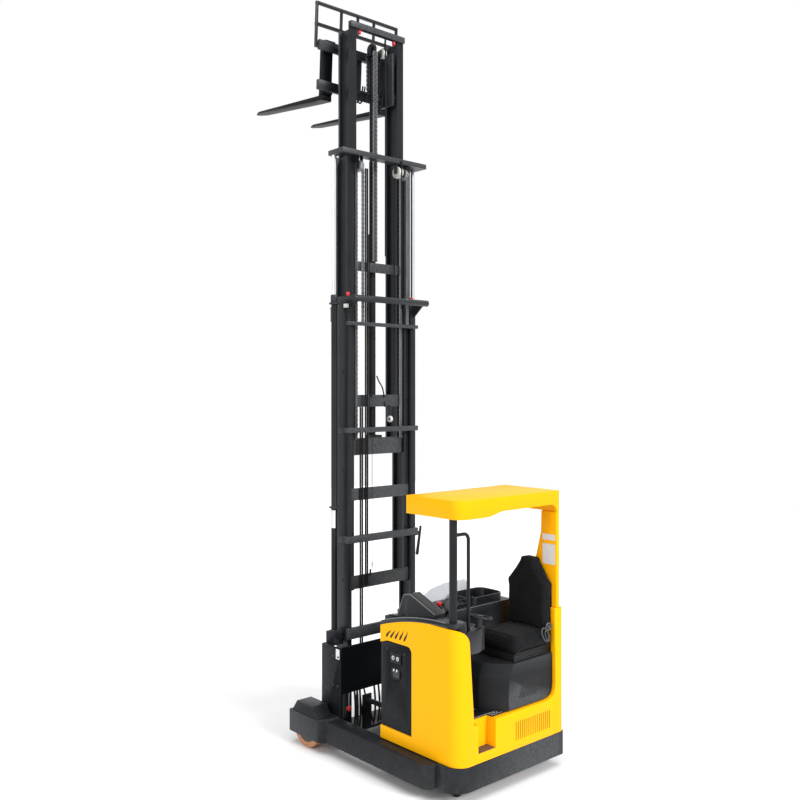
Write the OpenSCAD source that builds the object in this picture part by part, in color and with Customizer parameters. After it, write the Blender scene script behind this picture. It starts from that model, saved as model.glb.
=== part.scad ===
// Reach truck with a three-stage mast and a side-facing operator's seat.
// Millimetres, +X towards the forks, +Y to the truck's left, +Z up, floor at zero.
// Places along X are counted from the rear face, and truck() then centres them.

/* [Base and legs] */
// Length of the body, from the rear face to the front wall
body_len = 826; // [800:1:850]
// Width over the painted side panels
body_w = 1122; // [1110:1:1140]
// Width over the base band
base_w = 1160; // [1150:1:1180]
// Clearance under the base band
base_gap = 90; // [80:1:100]
// Height of the base band's top
base_top = 265; // [260:1:270]
// Radius of the base's rear corners
corner_r = 130; // [110:1:140]
// Thickness of the base band's plate
band_t = 12; // [8:1:16]
// Distance from the middle of the truck to a leg's inner face
leg_in = 532; // [528:1:540]
// Width of a leg
leg_w = 136; // [130:1:150]
// Height of a leg's top
leg_top = 258; // [252:1:262]
// Place of the legs' rounded rear ends
leg_rear = 200; // [180:1:230]
// Radius of a leg's rounded rear end
leg_r = 88; // [60:1:100]
// How far a leg's front box stands out past the leg
box_out = 52; // [48:1:60]
// Length of a leg's front box
box_len = 380; // [372:1:400]
// Height of the hump over a load wheel
hump_top = 352; // [348:1:360]
// Depth of the channel that the carriage rollers run in
channel_deep = 34; // [32:1:36]
// Height of that channel
channel_h = 110; // [108:1:114]

/* [Wheels] */
// Place of the load wheels' axle
load_x = 1595; // [1590:1:1600]
// Radius of a load wheel
load_r = 170; // [160:1:170]
// Width of a load wheel
load_w = 100; // [80:1:104]
// Radius of the drive wheel
drive_r = 170; // [150:1:175]
// Width of the drive wheel
drive_w = 90; // [70:1:100]
// Place of the drive unit along the truck
drive_x = 300; // [285:1:305]
// Place of the drive unit across the truck
drive_y = -150; // [-170:1:-130]
// Radius of the castor wheel
castor_r = 55; // [45:1:58]
// Width of the castor wheel
castor_w = 36; // [30:1:40]
// Trail of the castor wheel behind its swivel
castor_trail = 30; // [22:1:32]
// Place of the castor's swivel along the truck
castor_x = 195; // [185:1:205]
// Place of the castor's swivel across the truck
castor_y = 425; // [415:1:430]

/* [Body panels] */
// Thickness of the painted body panels
wall_t = 45; // [35:1:50]
// Height of the left side at its front end
side_front_z = 1106; // [1104:1:1130]
// Height of the left side at its highest place
side_peak_z = 1216; // [1200:1:1225]
// Where along the truck that highest place is
side_peak_x = 150; // [120:1:200]
// Height of the operator's floor
floor_z = 540; // [530:1:550]
// Thickness of the floor plate
floor_t = 8; // [5:1:12]
// Where the left side's rear wrap ends, across the truck, at the floor
wrap_low_y = 412; // [405:1:420]
// Where that wrap ends, across the truck, at its top
wrap_high_y = 452; // [445:1:460]
// Number of slots in the rear panel's grille
louvre_n = 17; // [9:1:17]
// Number of slanted slots in the left side
vent_n = 5; // [3:1:5]

/* [Guard] */
// Height of the overhead guard's top
guard_top = 2100; // [2090:1:2120]
// Height of the guard's lower edge at the round post
guard_low = 1968; // [1960:1:1975]
// Length of the guard along the truck
guard_len = 550; // [540:1:570]
// Diameter of the guard's round post
post_d = 57; // [50:1:60]
// Diameter of the grab handle's tube
grab_d = 25; // [20:1:30]

/* [Seat] */
// Height of the seat pedestal's top
pedestal_top = 870; // [860:1:880]
// Height of the suspension bellows
bellows_h = 52; // [45:1:60]
// Width of the seat, along the truck
seat_w = 445; // [430:1:450]
// Depth of the seat cushion, across the truck
seat_d = 420; // [400:1:430]
// Thickness of the seat cushion
cushion_h = 108; // [90:1:115]
// Height of the seat back's top
back_top = 1590; // [1570:1:1610]
// Thickness of the seat back
back_t = 85; // [70:1:88]
// Diameter of the steering wheel
steer_d = 190; // [170:1:200]

/* [Mast] */
// Height of the outer mast's top
outer_top = 3630; // [3600:1:3640]
// Height of the middle mast's rails at their top, as parked
mid_top = 4790; // [4785:1:4792]
// Height of the middle mast's rails at their foot, as parked
mid_foot = 1210; // [1205:1:1240]
// Height of the inner mast's top bar, as parked
inner_top = 5910; // [5908:1:5930]
// Height of the inner mast's rails at their foot, as parked
inner_foot = 2320; // [2310:1:2350]
// Distance from the middle of the truck to the outer rails' outer face
rail_out = 365; // [363:1:370]
// Depth of a rail along the truck
rail_d = 155; // [153:1:157]
// Rear face of the outer rails
rail_x = 1465; // [1464:1:1467]
// Step from one stage's rails to the next, along the truck
rail_step_x = 32; // [31:1:34]
// Step from one stage's rails to the next, across the truck
rail_step_y = 50; // [49:1:52]
// Thickness of a rail's web
web_t = 14; // [12:1:15]
// Thickness of a rail's flange
flange_t = 18; // [16:1:18]
// Width of an outer rail's flange
outer_flange = 40; // [38:1:40]
// Width of an inner stage rail's flange
stage_flange = 70; // [66:1:70]
// Outer diameter of the lift cylinders
barrel_d = 50; // [48:1:54]
// Diameter of the lift rods
rod_d = 40; // [36:1:42]
// Distance from the middle of the truck to a lift cylinder
lift_y = 433; // [430:1:436]
// Place of the lift cylinders along the truck
lift_x = 1560; // [1555:1:1565]
// Outer diameter of the free-lift cylinder
free_d = 64; // [60:1:66]
// Pitch radius of the chain wheels
sheave_r = 43; // [42:1:44]
// Width of a lift chain
chain_w = 25; // [20:1:28]
// Thickness of a lift chain
chain_t = 12; // [10:1:12]

/* [Carriage and forks] */
// Rear face of the reach carriage's side plates, as parked
reach_x = 1355; // [1350:1:1360]
// Length of the reach carriage's side plates
reach_len = 250; // [245:1:260]
// Height of the reach carriage's side plates
reach_top = 800; // [780:1:810]
// Thickness of the reach carriage's side plates
reach_t = 20; // [15:1:22]
// Length of a fork's blade
fork_len = 1070; // [900:1:1150]
// Width of a fork
fork_w = 100; // [80:1:120]
// Thickness of a fork at its heel
fork_t = 40; // [30:1:45]
// Distance from the middle of the truck to a fork's middle
fork_y = 310; // [280:1:330]
// Height of the lower fork bar's lower edge, as parked
bar_low_z = 5380; // [5370:1:5390]
// Height of the upper fork bar's upper edge, as parked
bar_top_z = 5790; // [5780:1:5800]
// Half the width of the fork bars
bar_half = 430; // [420:1:450]
// Height of the backrest's top, as parked
backrest_top = 6110; // [6050:1:6150]
// How far the fork frame is tipped back, as parked, in degrees
fork_tip = 3; // [1:0.5:4]

/* [Hidden] */
$fn = 48;

charcoal = [0.17, 0.19, 0.21];
yellow = [0.99, 0.74, 0.05];
black = [0.08, 0.08, 0.09];
steel = [0.72, 0.73, 0.75];
orange = [0.85, 0.45, 0.12];
glass = [0.65, 0.68, 0.72, 0.6];

gap = 0.3;
fit = 0.05;
eps = 1;

// Driven places of the chassis
side_y = body_w / 2;
base_y = base_w / 2;
inner_y = side_y - wall_t;
side_r = corner_r - (base_y - side_y);
leg_out = leg_in + leg_w;
leg_front = load_x + box_len / 2;
box_rear = leg_front - box_len;
box_y = leg_out + box_out;
box_top = leg_top + 8;
load_y = box_y - 23 - 6 - load_w / 2;
axle_r = 20;
deck_t = 10;
well_r = 228;
well_top = 400;
spigot_r = 60;

// Driven places of the masts: each stage is [rear face, outer face of the web]
mid_x = rail_x + rail_step_x;
inner_x = mid_x + rail_step_x;
web_mid = rail_out - web_t - rail_step_y + 16;
web_inner = web_mid - rail_step_y;
flange_over = (stage_flange - web_t) / 2;
barrel_foot = reach_top + 90;
free_x = inner_x + 71;
free_foot = inner_foot + 160;
free_top = 4185;
free_rod_low = free_top - 150;
chain_y = 245;
sheave_x = mid_x - 34;
sheave_z = mid_top - 90;
head_z = 5760;
plate_y = web_inner - web_t - flange_over - 6;
rail_roller_r = rail_d / 2 - flange_t - 5;
strand_low = 2450;
strand_rear = 3420;

// Driven places of the fork frame, which set the truck's overall length
pivot_x = 1745;
pivot_z = bar_low_z + 45;
bar_x = 1780;
bar_t = 30;
shank_x = bar_x + bar_t + 12;
shank_t = fork_t + 5;
toe_up = 1.5;
heel_z = bar_low_z - 70;
tip_t = 12;
tip_x = pivot_x + (shank_x - pivot_x) * cos(fork_tip) + (pivot_z - heel_z) * sin(fork_tip)
    + fork_len * cos(fork_tip + toe_up) - (fork_t - tip_t) * sin(fork_tip + toe_up);
truck_mid = tip_x / 2;

module truck() translate([-truck_mid, 0, 0]) children();
module both() { children(); mirror([0, 1, 0]) children(); }

// A block given by its low and high corners
module block(low, high) translate(low) cube(high - low);

// An outline in the XZ plane, pushed along Y from y0 to y1
module along_y(y0, y1) translate([0, y1, 0]) rotate([90, 0, 0]) linear_extrude(y1 - y0) children();

// An outline in the YZ plane, pushed along X from x0 to x1
module along_x(x0, x1) translate([x0, 0, 0]) rotate([90, 0, 90]) linear_extrude(x1 - x0) children();

// A round bar along Y, and one along X
module rod_y(r, y0, y1, x, z) translate([x, y0, z]) rotate([-90, 0, 0]) cylinder(r = r, h = y1 - y0);
module rod_x(r, x0, x1, y, z) translate([x0, y, z]) rotate([0, 90, 0]) cylinder(r = r, h = x1 - x0);

// Points of an arc, from angle a0 to a1
function arc(cx, cy, r, a0, a1, n = 8) =
    [for (i = [0 : n]) let (a = a0 + (a1 - a0) * i / n) [cx + r * cos(a), cy + r * sin(a)]];

// A rectangle with rounded corners
module rounded(low, high, r) {
    translate([low[0] + r, low[1]]) square([high[0] - low[0] - 2 * r, high[1] - low[1]]);
    translate([low[0], low[1] + r]) square([high[0] - low[0], high[1] - low[1] - 2 * r]);
    for (x = [low[0] + r, high[0] - r], y = [low[1] + r, high[1] - r]) translate([x, y]) circle(r);
}

// Plan of the body: rounded at its rear corners and square ahead
module rear_plan(x0, x1, half, r) {
    translate([x0 + r, -half]) square([x1 - x0 - r, 2 * half]);
    translate([x0, -half + r]) square([r + eps, 2 * (half - r)]);
    for (s = [-1, 1]) translate([x0 + r, s * (half - r)]) circle(r);
}

// Base band: a skirt under a deck, with notches for the legs and a well over the drive wheel
module base_plan(inset) difference() {
    rear_plan(inset, body_len - inset, base_y - inset, corner_r - inset);
    for (s = [0, 1]) mirror([0, s]) translate([leg_rear - inset - gap, leg_in - inset - gap])
        square([body_len, base_y]);
}
module base_frame() color(charcoal) truck() {
    battery_rail = 60;
    difference() {
        union() {
            translate([0, 0, base_gap]) linear_extrude(base_top - base_gap) base_plan(0);
            translate([drive_x, drive_y, base_top - deck_t])
                cylinder(r = well_r, h = well_top - base_top + deck_t);
        }
        translate([0, 0, base_gap - eps]) linear_extrude(base_top - deck_t - base_gap + eps) base_plan(band_t);
        translate([drive_x, drive_y, base_gap])
            cylinder(r = well_r - band_t, h = well_top - deck_t - base_gap);
        translate([drive_x, drive_y, well_top - 2 * deck_t]) cylinder(r = spigot_r + fit, h = 3 * deck_t);
    }
    for (s = [-1, 1]) translate([drive_x + well_r + 10, s * 440 - battery_rail / 2, base_top - eps])
        cube([body_len - drive_x - well_r - 60, battery_rail, well_top + 10 - base_top + eps]);
}

// One leg, with its roller channel, the load wheel's box and the hump over it
module leg() {
    cavity_r = load_r + 6;
    cavity_w = load_w + 12;
    difference() {
        union() {
            translate([0, 0, base_gap]) linear_extrude(leg_top - base_gap) {
                translate([leg_rear, leg_in]) square([leg_front - leg_rear, leg_w - leg_r]);
                translate([leg_rear + leg_r, leg_in]) square([leg_front - leg_rear - leg_r, leg_w]);
                intersection() {
                    translate([leg_rear + leg_r, leg_out - leg_r]) circle(leg_r);
                    translate([leg_rear, leg_in]) square([2 * leg_r, leg_w]);
                }
            }
            translate([0, 0, base_gap]) linear_extrude(box_top - base_gap)
                polygon([[box_rear - box_out, leg_in], [leg_front, leg_in], [leg_front, box_y],
                    [box_rear, box_y], [box_rear - box_out, leg_out]]);
            along_y(leg_in + channel_deep, box_y - 12) polygon([
                [box_rear + 15, box_top - eps], [box_rear + 80, hump_top],
                [leg_front - 90, hump_top], [leg_front - 25, box_top - eps]]);
        }
        block([body_len + 10, leg_in - eps, (base_gap + leg_top) / 2 - channel_h / 2],
            [leg_front - 50, leg_in + channel_deep, (base_gap + leg_top) / 2 + channel_h / 2]);
        rod_y(cavity_r, load_y - cavity_w / 2, load_y + cavity_w / 2, load_x, load_r);
        block([load_x - cavity_r, load_y - cavity_w / 2, 0],
            [load_x + cavity_r, load_y + cavity_w / 2, load_r]);
    }
    rod_y(axle_r, load_y - cavity_w / 2 - 5, load_y + cavity_w / 2 + 5, load_x, load_r);
}
module leg_left() color(charcoal) truck() leg();
module leg_right() color(charcoal) truck() mirror([0, 1, 0]) leg();

// Solid tyre on a hub, turning on its axle
module tyred_wheel(r, w, bore) rotate([90, 0, 0]) rotate_extrude($fn = 72) polygon([
    [bore, -w / 2], [r * 0.45, -w / 2], [r * 0.5, -w / 2 + 6], [r * 0.72, -w / 2 + 6],
    [r * 0.76, -w / 2], [r - 6, -w / 2], [r, -w / 2 + 6], [r, w / 2 - 6], [r - 6, w / 2],
    [r * 0.76, w / 2], [r * 0.72, w / 2 - 6], [r * 0.5, w / 2 - 6], [r * 0.45, w / 2], [bore, w / 2]]);
module load_wheel_left() color(orange) truck()
    translate([load_x, load_y, load_r]) tyred_wheel(load_r, load_w, axle_r + fit);
module load_wheel_right() color(orange) truck()
    translate([load_x, -load_y, load_r]) tyred_wheel(load_r, load_w, axle_r + fit);
module drive_wheel() color(orange) truck()
    translate([drive_x, drive_y, drive_r]) tyred_wheel(drive_r, drive_w, axle_r + fit);

// Turntable and gearcase that steer the drive wheel
module drive_unit() color(charcoal) truck() translate([drive_x, drive_y, 0]) {
    case_y = drive_w / 2 + 6;
    plate_low = drive_r * 2 + 18;
    translate([0, 0, plate_low]) cylinder(r = 150, h = well_top - deck_t - gap - plate_low);
    translate([0, 0, plate_low]) cylinder(r = spigot_r, h = well_top + 15 - plate_low);
    rod_y(75, case_y, case_y + 50, 0, drive_r);
    block([-75, case_y, drive_r], [75, case_y + 50, plate_low + eps]);
    rod_y(axle_r, -drive_w / 2, case_y + eps, 0, drive_r);
}

// Swivelling castor under the rear left corner
module castor_fork() color(charcoal) truck() translate([castor_x, castor_y, 0]) {
    cheek_y = castor_w / 2 + 5;
    crown_z = castor_r * 2 + 8;
    both() along_y(cheek_y, cheek_y + 7) polygon([[-castor_trail - 18, castor_r - 16],
        [-castor_trail + 18, castor_r - 16], [38, crown_z + 14], [-castor_trail - 18, crown_z + 14]]);
    block([-castor_trail - 18, -cheek_y - 7, crown_z], [38, cheek_y + 7, crown_z + 14]);
    translate([0, 0, crown_z + 13]) cylinder(r = 24, h = base_top - deck_t - gap - crown_z - 13);
    translate([0, 0, base_top - deck_t - gap - 16]) cylinder(r = 44, h = 16);
    rod_y(10, -cheek_y - eps, cheek_y + eps, -castor_trail, castor_r);
}
module castor_wheel() color(black) truck() translate([castor_x - castor_trail, castor_y, castor_r])
    rotate([90, 0, 0]) rotate_extrude() polygon([[10 + fit, -castor_w / 2], [castor_r - 14, -castor_w / 2],
        [castor_r, -castor_w / 2 + 10], [castor_r, castor_w / 2 - 10], [castor_r - 14, castor_w / 2],
        [10 + fit, castor_w / 2]]);

// Height of the side panels' top along the truck
function side_z(x) = side_peak_z
    - (side_peak_z - side_front_z) * pow((x - side_peak_x) / (body_len - side_peak_x), 2);
module side_profile(x0, x1, low, lift) polygon(concat([[x1, low], [x0, low]],
    [for (i = [0 : 12]) let (x = x0 + (x1 - x0) * i / 12) [x, side_z(x) + lift]]));

// Plan of one body side, with its rear corner, open towards the middle
module side_plan(inset) {
    translate([side_r, 0]) square([body_len, side_y - inset]);
    translate([inset, 0]) square([side_r, side_y - side_r]);
    translate([side_r, side_y - side_r]) circle(side_r - inset);
}
module side_shell(reach_y) difference() {
    intersection() {
        side_plan(0);
        translate([0, reach_y]) square([body_len, side_y]);
    }
    side_plan(wall_t);
}

// The free edge of the left side's rear wrap, as a region across the truck
module wrap_region() polygon(concat([[side_y + eps, base_top - eps], [side_y + eps, side_peak_z + 20]],
    arc(wrap_high_y + 115, side_peak_z - 120, 115, 90, 180),
    [[wrap_low_y, floor_z + 30], [wrap_low_y, base_top - eps]]));

panel_rear = 520;
panel_low = 330;
panel_high = 1035;
vent_top = 1085;
module body_left() color(yellow) truck() difference() {
    intersection() {
        translate([0, 0, base_top]) linear_extrude(side_peak_z - base_top + 10) side_shell(wrap_low_y);
        along_y(0, side_y + eps) side_profile(0, body_len, base_top - eps, 0);
        along_x(-eps, body_len + eps) wrap_region();
    }
    along_y(side_y - 22, side_y + eps) access_outline(0);
    for (i = [0 : vent_n - 1]) translate([body_len - 75 - 44 * i, 0, 0])
        along_y(side_y - 25, side_y + eps) polygon([[0, vent_top - 34], [9, vent_top - 36],
            [-14, vent_top + 46 + 5 * i], [-24, vent_top + 46 + 5 * i]]);
}
module access_outline(inset) {
    r = 45;
    polygon(concat([[body_len + eps - inset, panel_low + inset],
        [body_len + eps - inset, panel_high - 25 - inset], [body_len - 80, panel_high - inset]],
        arc(panel_rear + r, panel_high - r, r - inset, 90, 180, 6), [[panel_rear + inset, panel_low + inset]]));
}
module access_panel() color(charcoal) truck() difference() {
    along_y(side_y - 22, side_y - 6) access_outline(4);
    along_y(side_y - 12, side_y) rounded([583, 851], [716, 924], 8);
    along_y(side_y - 12, side_y) rounded([604, 737], [716, 806], 14);
}

// The operator's opening in the rear, as a region across the truck
opening_r = 135;
opening_y = 505;
module rear_opening() polygon(concat([[wrap_low_y + 200, guard_low], [wrap_low_y + 200, floor_z - 5]],
    arc(opening_r - opening_y, floor_z - 5 + opening_r, opening_r, 270, 180),
    [[15 - opening_y, guard_low + 1]]));

step_y = [190, 368];
step_low = 330;
step_deep = 45;
module step_pocket(grow) block([wall_t - eps, step_y[0] - grow, step_low - grow],
    [wall_t + step_deep + grow, step_y[1] + grow, floor_z - 5]);
module body_rear() color(yellow) truck() difference() {
    union() {
        block([0, -side_y + side_r, base_top], [wall_t, wrap_low_y - gap, floor_z + 30]);
        step_pocket(8);
    }
    block([wall_t - 2 * eps, step_y[0], step_low], [wall_t + step_deep, step_y[1], floor_z + 30]);
    along_x(-eps, wall_t + eps) rear_opening();
    block([-eps, step_y[0], step_low], [wall_t + eps, step_y[1], floor_z + 30]);
    for (i = [0 : louvre_n - 1]) translate([-eps, -32 - i * 376 / (louvre_n - 1), 325])
        cube([14, 9, 135]);
}
module body_right() color(yellow) truck() difference() {
    intersection() {
        translate([0, 0, base_top]) linear_extrude(side_peak_z - base_top + 10)
            mirror([0, 1]) side_shell(side_y - side_r);
        along_y(-side_y - eps, 0) side_profile(0, body_len, base_top - eps, 0);
    }
    along_x(-eps, wall_t * 2) rear_opening();
}

// Front wall of the body, facing the mast
front_t = 40;
console_z = 1100;
cab_x = 470;
reach_y = 250;
reach_z = 340;
reach_r = 35;
module front_wall() color(charcoal) truck() difference() {
    block([body_len - front_t, -inner_y, base_top], [body_len, inner_y, console_z]);
    rod_x(reach_r + gap, body_len - front_t - eps, body_len + eps, reach_y, reach_z);
}
module floor_plate() color(charcoal) truck() {
    difference() {
        translate([0, 0, floor_z - floor_t]) linear_extrude(floor_t) intersection() {
            translate([wall_t, -inner_y]) square([cab_x - wall_t, 2 * inner_y]);
            for (s = [0, 1]) mirror([0, s]) side_plan(wall_t);
        }
        block([wall_t - eps, step_y[0] - 8 - gap, floor_z - 20],
            [wall_t + step_deep + 8 + gap, step_y[1] + 8 + gap, floor_z + eps]);
    }
    translate([0, 0, floor_z - eps]) linear_extrude(2 + eps) polygon(concat([[cab_x - 6, inner_y - 11],
        [335, inner_y - 11], [335, 426], [293, 374], [103, 374]], arc(400, -170, 396, 139, 81, 8)));
}
module battery() color(black) truck()
    block([cab_x + 25, -inner_y + 16, well_top + 10], [body_len - front_t - 6, inner_y - 16, 880]);

// Dash over the left side: rim on the panel's edge, top, hood and column
module dash_cowl() color(charcoal) truck() {
    rim_lift = 32;
    difference() {
        intersection() {
            translate([0, 0, console_z]) linear_extrude(300) side_plan(8);
            along_y(430, side_y) side_profile(60, body_len, console_z, rim_lift);
        }
        intersection() {
            along_y(400, side_y + 1) side_profile(-eps, body_len + eps, 0, gap);
            translate([0, 0, 900]) linear_extrude(400) difference() {
                side_plan(-eps);
                side_plan(wall_t);
            }
        }
    }
    difference() {
        translate([0, 0, 1010]) linear_extrude(160) intersection() {
            side_plan(wall_t);
            polygon([[60, inner_y], [60, 300], [100, 200], [cab_x + 15, 200], [cab_x + 15, 431],
                [body_len, 431], [body_len, inner_y]]);
        }
        block([cab_x, 0, 1000], [body_len + eps, inner_y + eps, console_z]);
    }
    translate([0, 0, floor_z]) linear_extrude(471) intersection() {
        side_plan(wall_t);
        polygon([[120, 380], [120, inner_y], [330, inner_y], [330, 430], [290, 380]]);
    }
    along_y(400, 500) polygon([[620, 1170], [578, 1365], [566, 1368], [300, 1262], [300, 1170]]);
    translate(wheel_at) rotate([steer_tilt, 0, 0]) translate([0, 0, -20]) cylinder(r = 30, h = 26);
}

// Console across the front of the compartment, with its bin and the lever pod
module front_console() color(charcoal) truck() {
    top = 1200;
    block([cab_x, -inner_y, floor_z - floor_t], [cab_x + 15, inner_y, console_z]);
    difference() {
        block([cab_x, -inner_y, console_z], [body_len, 395, top]);
        translate([0, 0, top - 60]) linear_extrude(100) rounded([540, -470], [780, -120], 60);
        block([cab_x - eps, 199, 1000], [cab_x + 15 + gap, 440, top + eps]);
        block([cab_x + 15, 199, 1000], [body_len + eps, 440, 1170 + gap]);
    }
    translate([0, 0, top - eps]) linear_extrude(50) difference() {
        rounded([525, -485], [795, -105], 70);
        rounded([540, -470], [780, -120], 60);
    }
}
module controls() color(black) truck() {
    for (i = [0 : 3]) translate([500, -90 + 45 * i, 1200]) {
        cylinder(r = 14, h = 8);
        cylinder(r = 4, h = 60);
        translate([0, 0, 62]) sphere(r = 12, $fn = 24);
    }
    translate([620, 150, 1200]) {
        cylinder(r = 24, h = 14);
        cylinder(r = 12, h = 30);
        translate([0, 0, 28]) cylinder(r = 20, h = 18);
    }
}
module screen() color(glass) truck() along_x(800, 806) polygon(concat([[190, 1200]],
    [[165, 1255], [60, 1305], [-93, 1331]], arc(-300, 1296, 35, 90, 0 + 180, 6), [[-335, 1200]]));

// Overhead guard: a hollow shell with a deep rim
module guard_plan(inset) {
    left = side_y - 11 - inset;
    right = -520 + inset;
    difference() {
        translate([inset, right]) square([guard_len - 2 * inset, left - right]);
        translate([inset, left - 100 + inset]) square([100 - inset, 100]);
    }
    translate([100, left + inset - 100]) circle(100 - inset);
}
module guard_rim() polygon(concat(
    [[side_y, guard_top], [side_y, guard_low], [290, guard_low]],
    [for (i = [0 : 8]) [280 - 190 * i / 8, guard_low + 30 * (1 - cos(180 * i / 8)) / 2]],
    arc(-430, guard_low - 30, 60, 90, 180, 6), [[-530, guard_low - 30], [-530, guard_top]]));
module guard_roof() color(yellow) truck() difference() {
    intersection() {
        translate([0, 0, guard_low - 40]) linear_extrude(guard_top - guard_low + 40) guard_plan(0);
        along_x(0, guard_len) guard_rim();
    }
    translate([0, 0, guard_low - 50]) linear_extrude(guard_top - guard_low + 50 - roof_t) guard_plan(24);
}
pillar_top = guard_low - 30 - gap;
roof_t = 18;
module rear_pillar() color(yellow) truck() difference() {
    intersection() {
        along_x(0, 400) polygon([[-side_y, side_z(0) - 80], [-side_y, side_z(0)], [-522, guard_top],
            [-opening_y + 17, guard_top], [-opening_y, side_z(0) - 80]]);
        along_y(-side_y - eps, 0) polygon([[0, side_z(0) - 90], [0, pillar_top], [138, pillar_top],
            [140, 1780], [186, 1590], [345, side_z(345) - 90]]);
    }
    along_y(-side_y - eps, 0) side_profile(-eps, body_len, 0, gap);
}

// Round post and the grab handle welded to it
module guard_post() color(charcoal) truck() {
    post_x = 120;
    post_y = 496;
    bend_r = 45;
    translate([post_x, post_y, side_peak_z + 32])
        cylinder(d = post_d, h = guard_top - roof_t - gap - side_peak_z - 32);
    translate([post_x, 0, 0]) {
        translate([0, 345, 1170 + gap]) cylinder(d = grab_d, h = 1850 - bend_r - 1170 - gap);
        translate([0, 345 + bend_r, 1850 - bend_r]) rotate([90, 0, -90])
            rotate_extrude(angle = 90) translate([bend_r, 0]) circle(d = grab_d);
        rod_y(grab_d / 2, 345 + bend_r, post_y, 0, 1850);
    }
}

// Seat and what carries it
module pedestal_plan(back) polygon(concat([[30, -500], [30, -10 - back], [89, 66 - back]],
    arc(400, -170, 388 - back, 142, 83, 10), [[cab_x - 15, -500]]));
module seat_pedestal() color(black) truck() intersection() {
    union() {
        translate([0, 0, floor_z]) linear_extrude(756 - floor_z) pedestal_plan(0);
        hull() {
            translate([0, 0, 755]) linear_extrude(eps) pedestal_plan(0);
            translate([0, 0, pedestal_top - eps]) linear_extrude(eps) pedestal_plan(85);
        }
    }
    along_x(0, cab_x) polygon(concat([[300, pedestal_top + 1], [300, floor_z]],
        arc(opening_r - opening_y + 5, floor_z + opening_r, opening_r, 270, 180), [[-500, pedestal_top + 1]]));
}
seat_mid = 245;
module seat_bellows() color(black) truck() for (i = [0 : 3])
    translate([0, 0, pedestal_top + i * bellows_h / 4]) {
        linear_extrude(bellows_h / 4 - 4) rounded([seat_mid - 185, -470], [seat_mid + 185, -90], 30);
        linear_extrude(bellows_h / 4) rounded([seat_mid - 175, -460], [seat_mid + 175, -100], 30);
    }
cushion_z = pedestal_top + bellows_h;
seat_rear = -470;
module seat_cushion() color(black) truck() translate([0, 0, cushion_z]) linear_extrude(cushion_h)
    rounded([seat_mid - seat_w / 2, seat_rear], [seat_mid + seat_w / 2, seat_rear + seat_d], 45);
module seat_back() color(black) truck()
    translate([seat_mid, seat_rear, cushion_z + cushion_h + gap]) rotate([2, 0, 0]) along_y(0, back_t)
        back_outline(back_top - cushion_z - cushion_h);
module back_outline(h) polygon(concat([[-195, 0], [195, 0], [212, 30]],
    arc(180, h - 210, 42, 0, 40, 4), arc(48, h - 32, 32, 40, 90, 4),
    arc(-48, h - 32, 32, 90, 140, 4), arc(-180, h - 210, 42, 140, 180, 4), [[-212, 30]]));
module seat_lever() color(steel) truck()
    translate([seat_mid - seat_w / 2 - 7, -430, 1000]) rotate([0, 90, 0]) difference() {
        linear_extrude(7) rounded([-50, -22], [50, 22], 21);
        translate([0, 0, -eps]) linear_extrude(9) rounded([-41, -13], [41, 13], 12);
    }

// Steering wheel, turning on the dash
steer_tilt = 12;
wheel_at = [120, 240, 1170];
module steering_wheel() color(black) truck() translate(wheel_at) rotate([steer_tilt, 0, 0]) {
    translate([0, 0, 6 + gap]) cylinder(r = 20, h = 74);
    translate([0, 0, 72]) rotate_extrude() translate([steer_d / 2 - 9, 0]) circle(9, $fn = 24);
    for (a = [30, 150, 270]) rotate([0, 0, a]) translate([0, -9, 66]) cube([steer_d / 2 - 9, 18, 9]);
    rotate([0, 0, 200]) translate([steer_d / 2 - 9, 0, 72]) cylinder(r = 11, h = 44);
}

// Reach cylinder: its barrel on the chassis and its rod on the carriage
module reach_barrel() color(charcoal) truck() difference() {
    rod_x(reach_r, 280, body_len + 12, reach_y, reach_z);
    rod_x(20 + fit, 300, body_len + 14, reach_y, reach_z);
}
module reach_rod() color(steel) truck() rod_x(20, body_len - 20, reach_x - gap, reach_y, reach_z);

// Reach carriage: side plates, rear panel, floor, rollers and cylinder feet
roller_r = 50;
module carriage_frame() color(charcoal) truck() {
    plate_out = leg_in - 7;
    channel_z = (base_gap + leg_top) / 2;
    both() {
        block([reach_x, plate_out - reach_t, base_gap + 10], [reach_x + reach_len, plate_out, reach_top]);
        for (x = [reach_x + 52, reach_x + reach_len - 55]) {
            rod_y(roller_r, leg_in + 2, leg_in + channel_deep - 4, x, channel_z);
            rod_y(18, plate_out - eps, leg_in + 3, x, channel_z);
        }
        block([lift_x - 55, lift_y - 50, reach_top], [lift_x + 55, lift_y + 42, barrel_foot - gap]);
        block([lift_x - 55, lift_y - 50, reach_top - 12], [lift_x + 45, plate_out - reach_t + eps, reach_top + eps]);
    }
    block([reach_x, -plate_out + reach_t - eps, 437], [reach_x + 15, plate_out - reach_t + eps, reach_top + 10]);
    block([reach_x + 15 - eps, -rail_out + 5, 450], [rail_x, -rail_out + 20, 780]);
    block([reach_x + 15 - eps, rail_out - 20, 450], [rail_x, rail_out - 5, 780]);
    block([reach_x, -plate_out + reach_t - eps, base_gap + 10],
        [reach_x + reach_len, plate_out - reach_t + eps, base_gap + 30]);
    block([reach_x, reach_y - 45, base_gap + 29], [reach_x + 14, reach_y + 45, reach_z + 45]);
}

// An outer rail, open towards the middle, and a stage rail of I section
module outer_rail(z0, z1) translate([0, 0, z0]) linear_extrude(z1 - z0) {
    translate([rail_x, rail_out - web_t]) square([rail_d, web_t]);
    for (x = [rail_x, rail_x + rail_d - flange_t])
        translate([x, rail_out - outer_flange]) square([flange_t, outer_flange]);
}
module stage_rail(x, web, z0, z1) translate([0, 0, z0]) linear_extrude(z1 - z0) {
    translate([x, web - web_t]) square([rail_d, web_t]);
    for (s = [x, x + rail_d - flange_t])
        translate([s, web - web_t - flange_over]) square([flange_t, stage_flange]);
}

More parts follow.
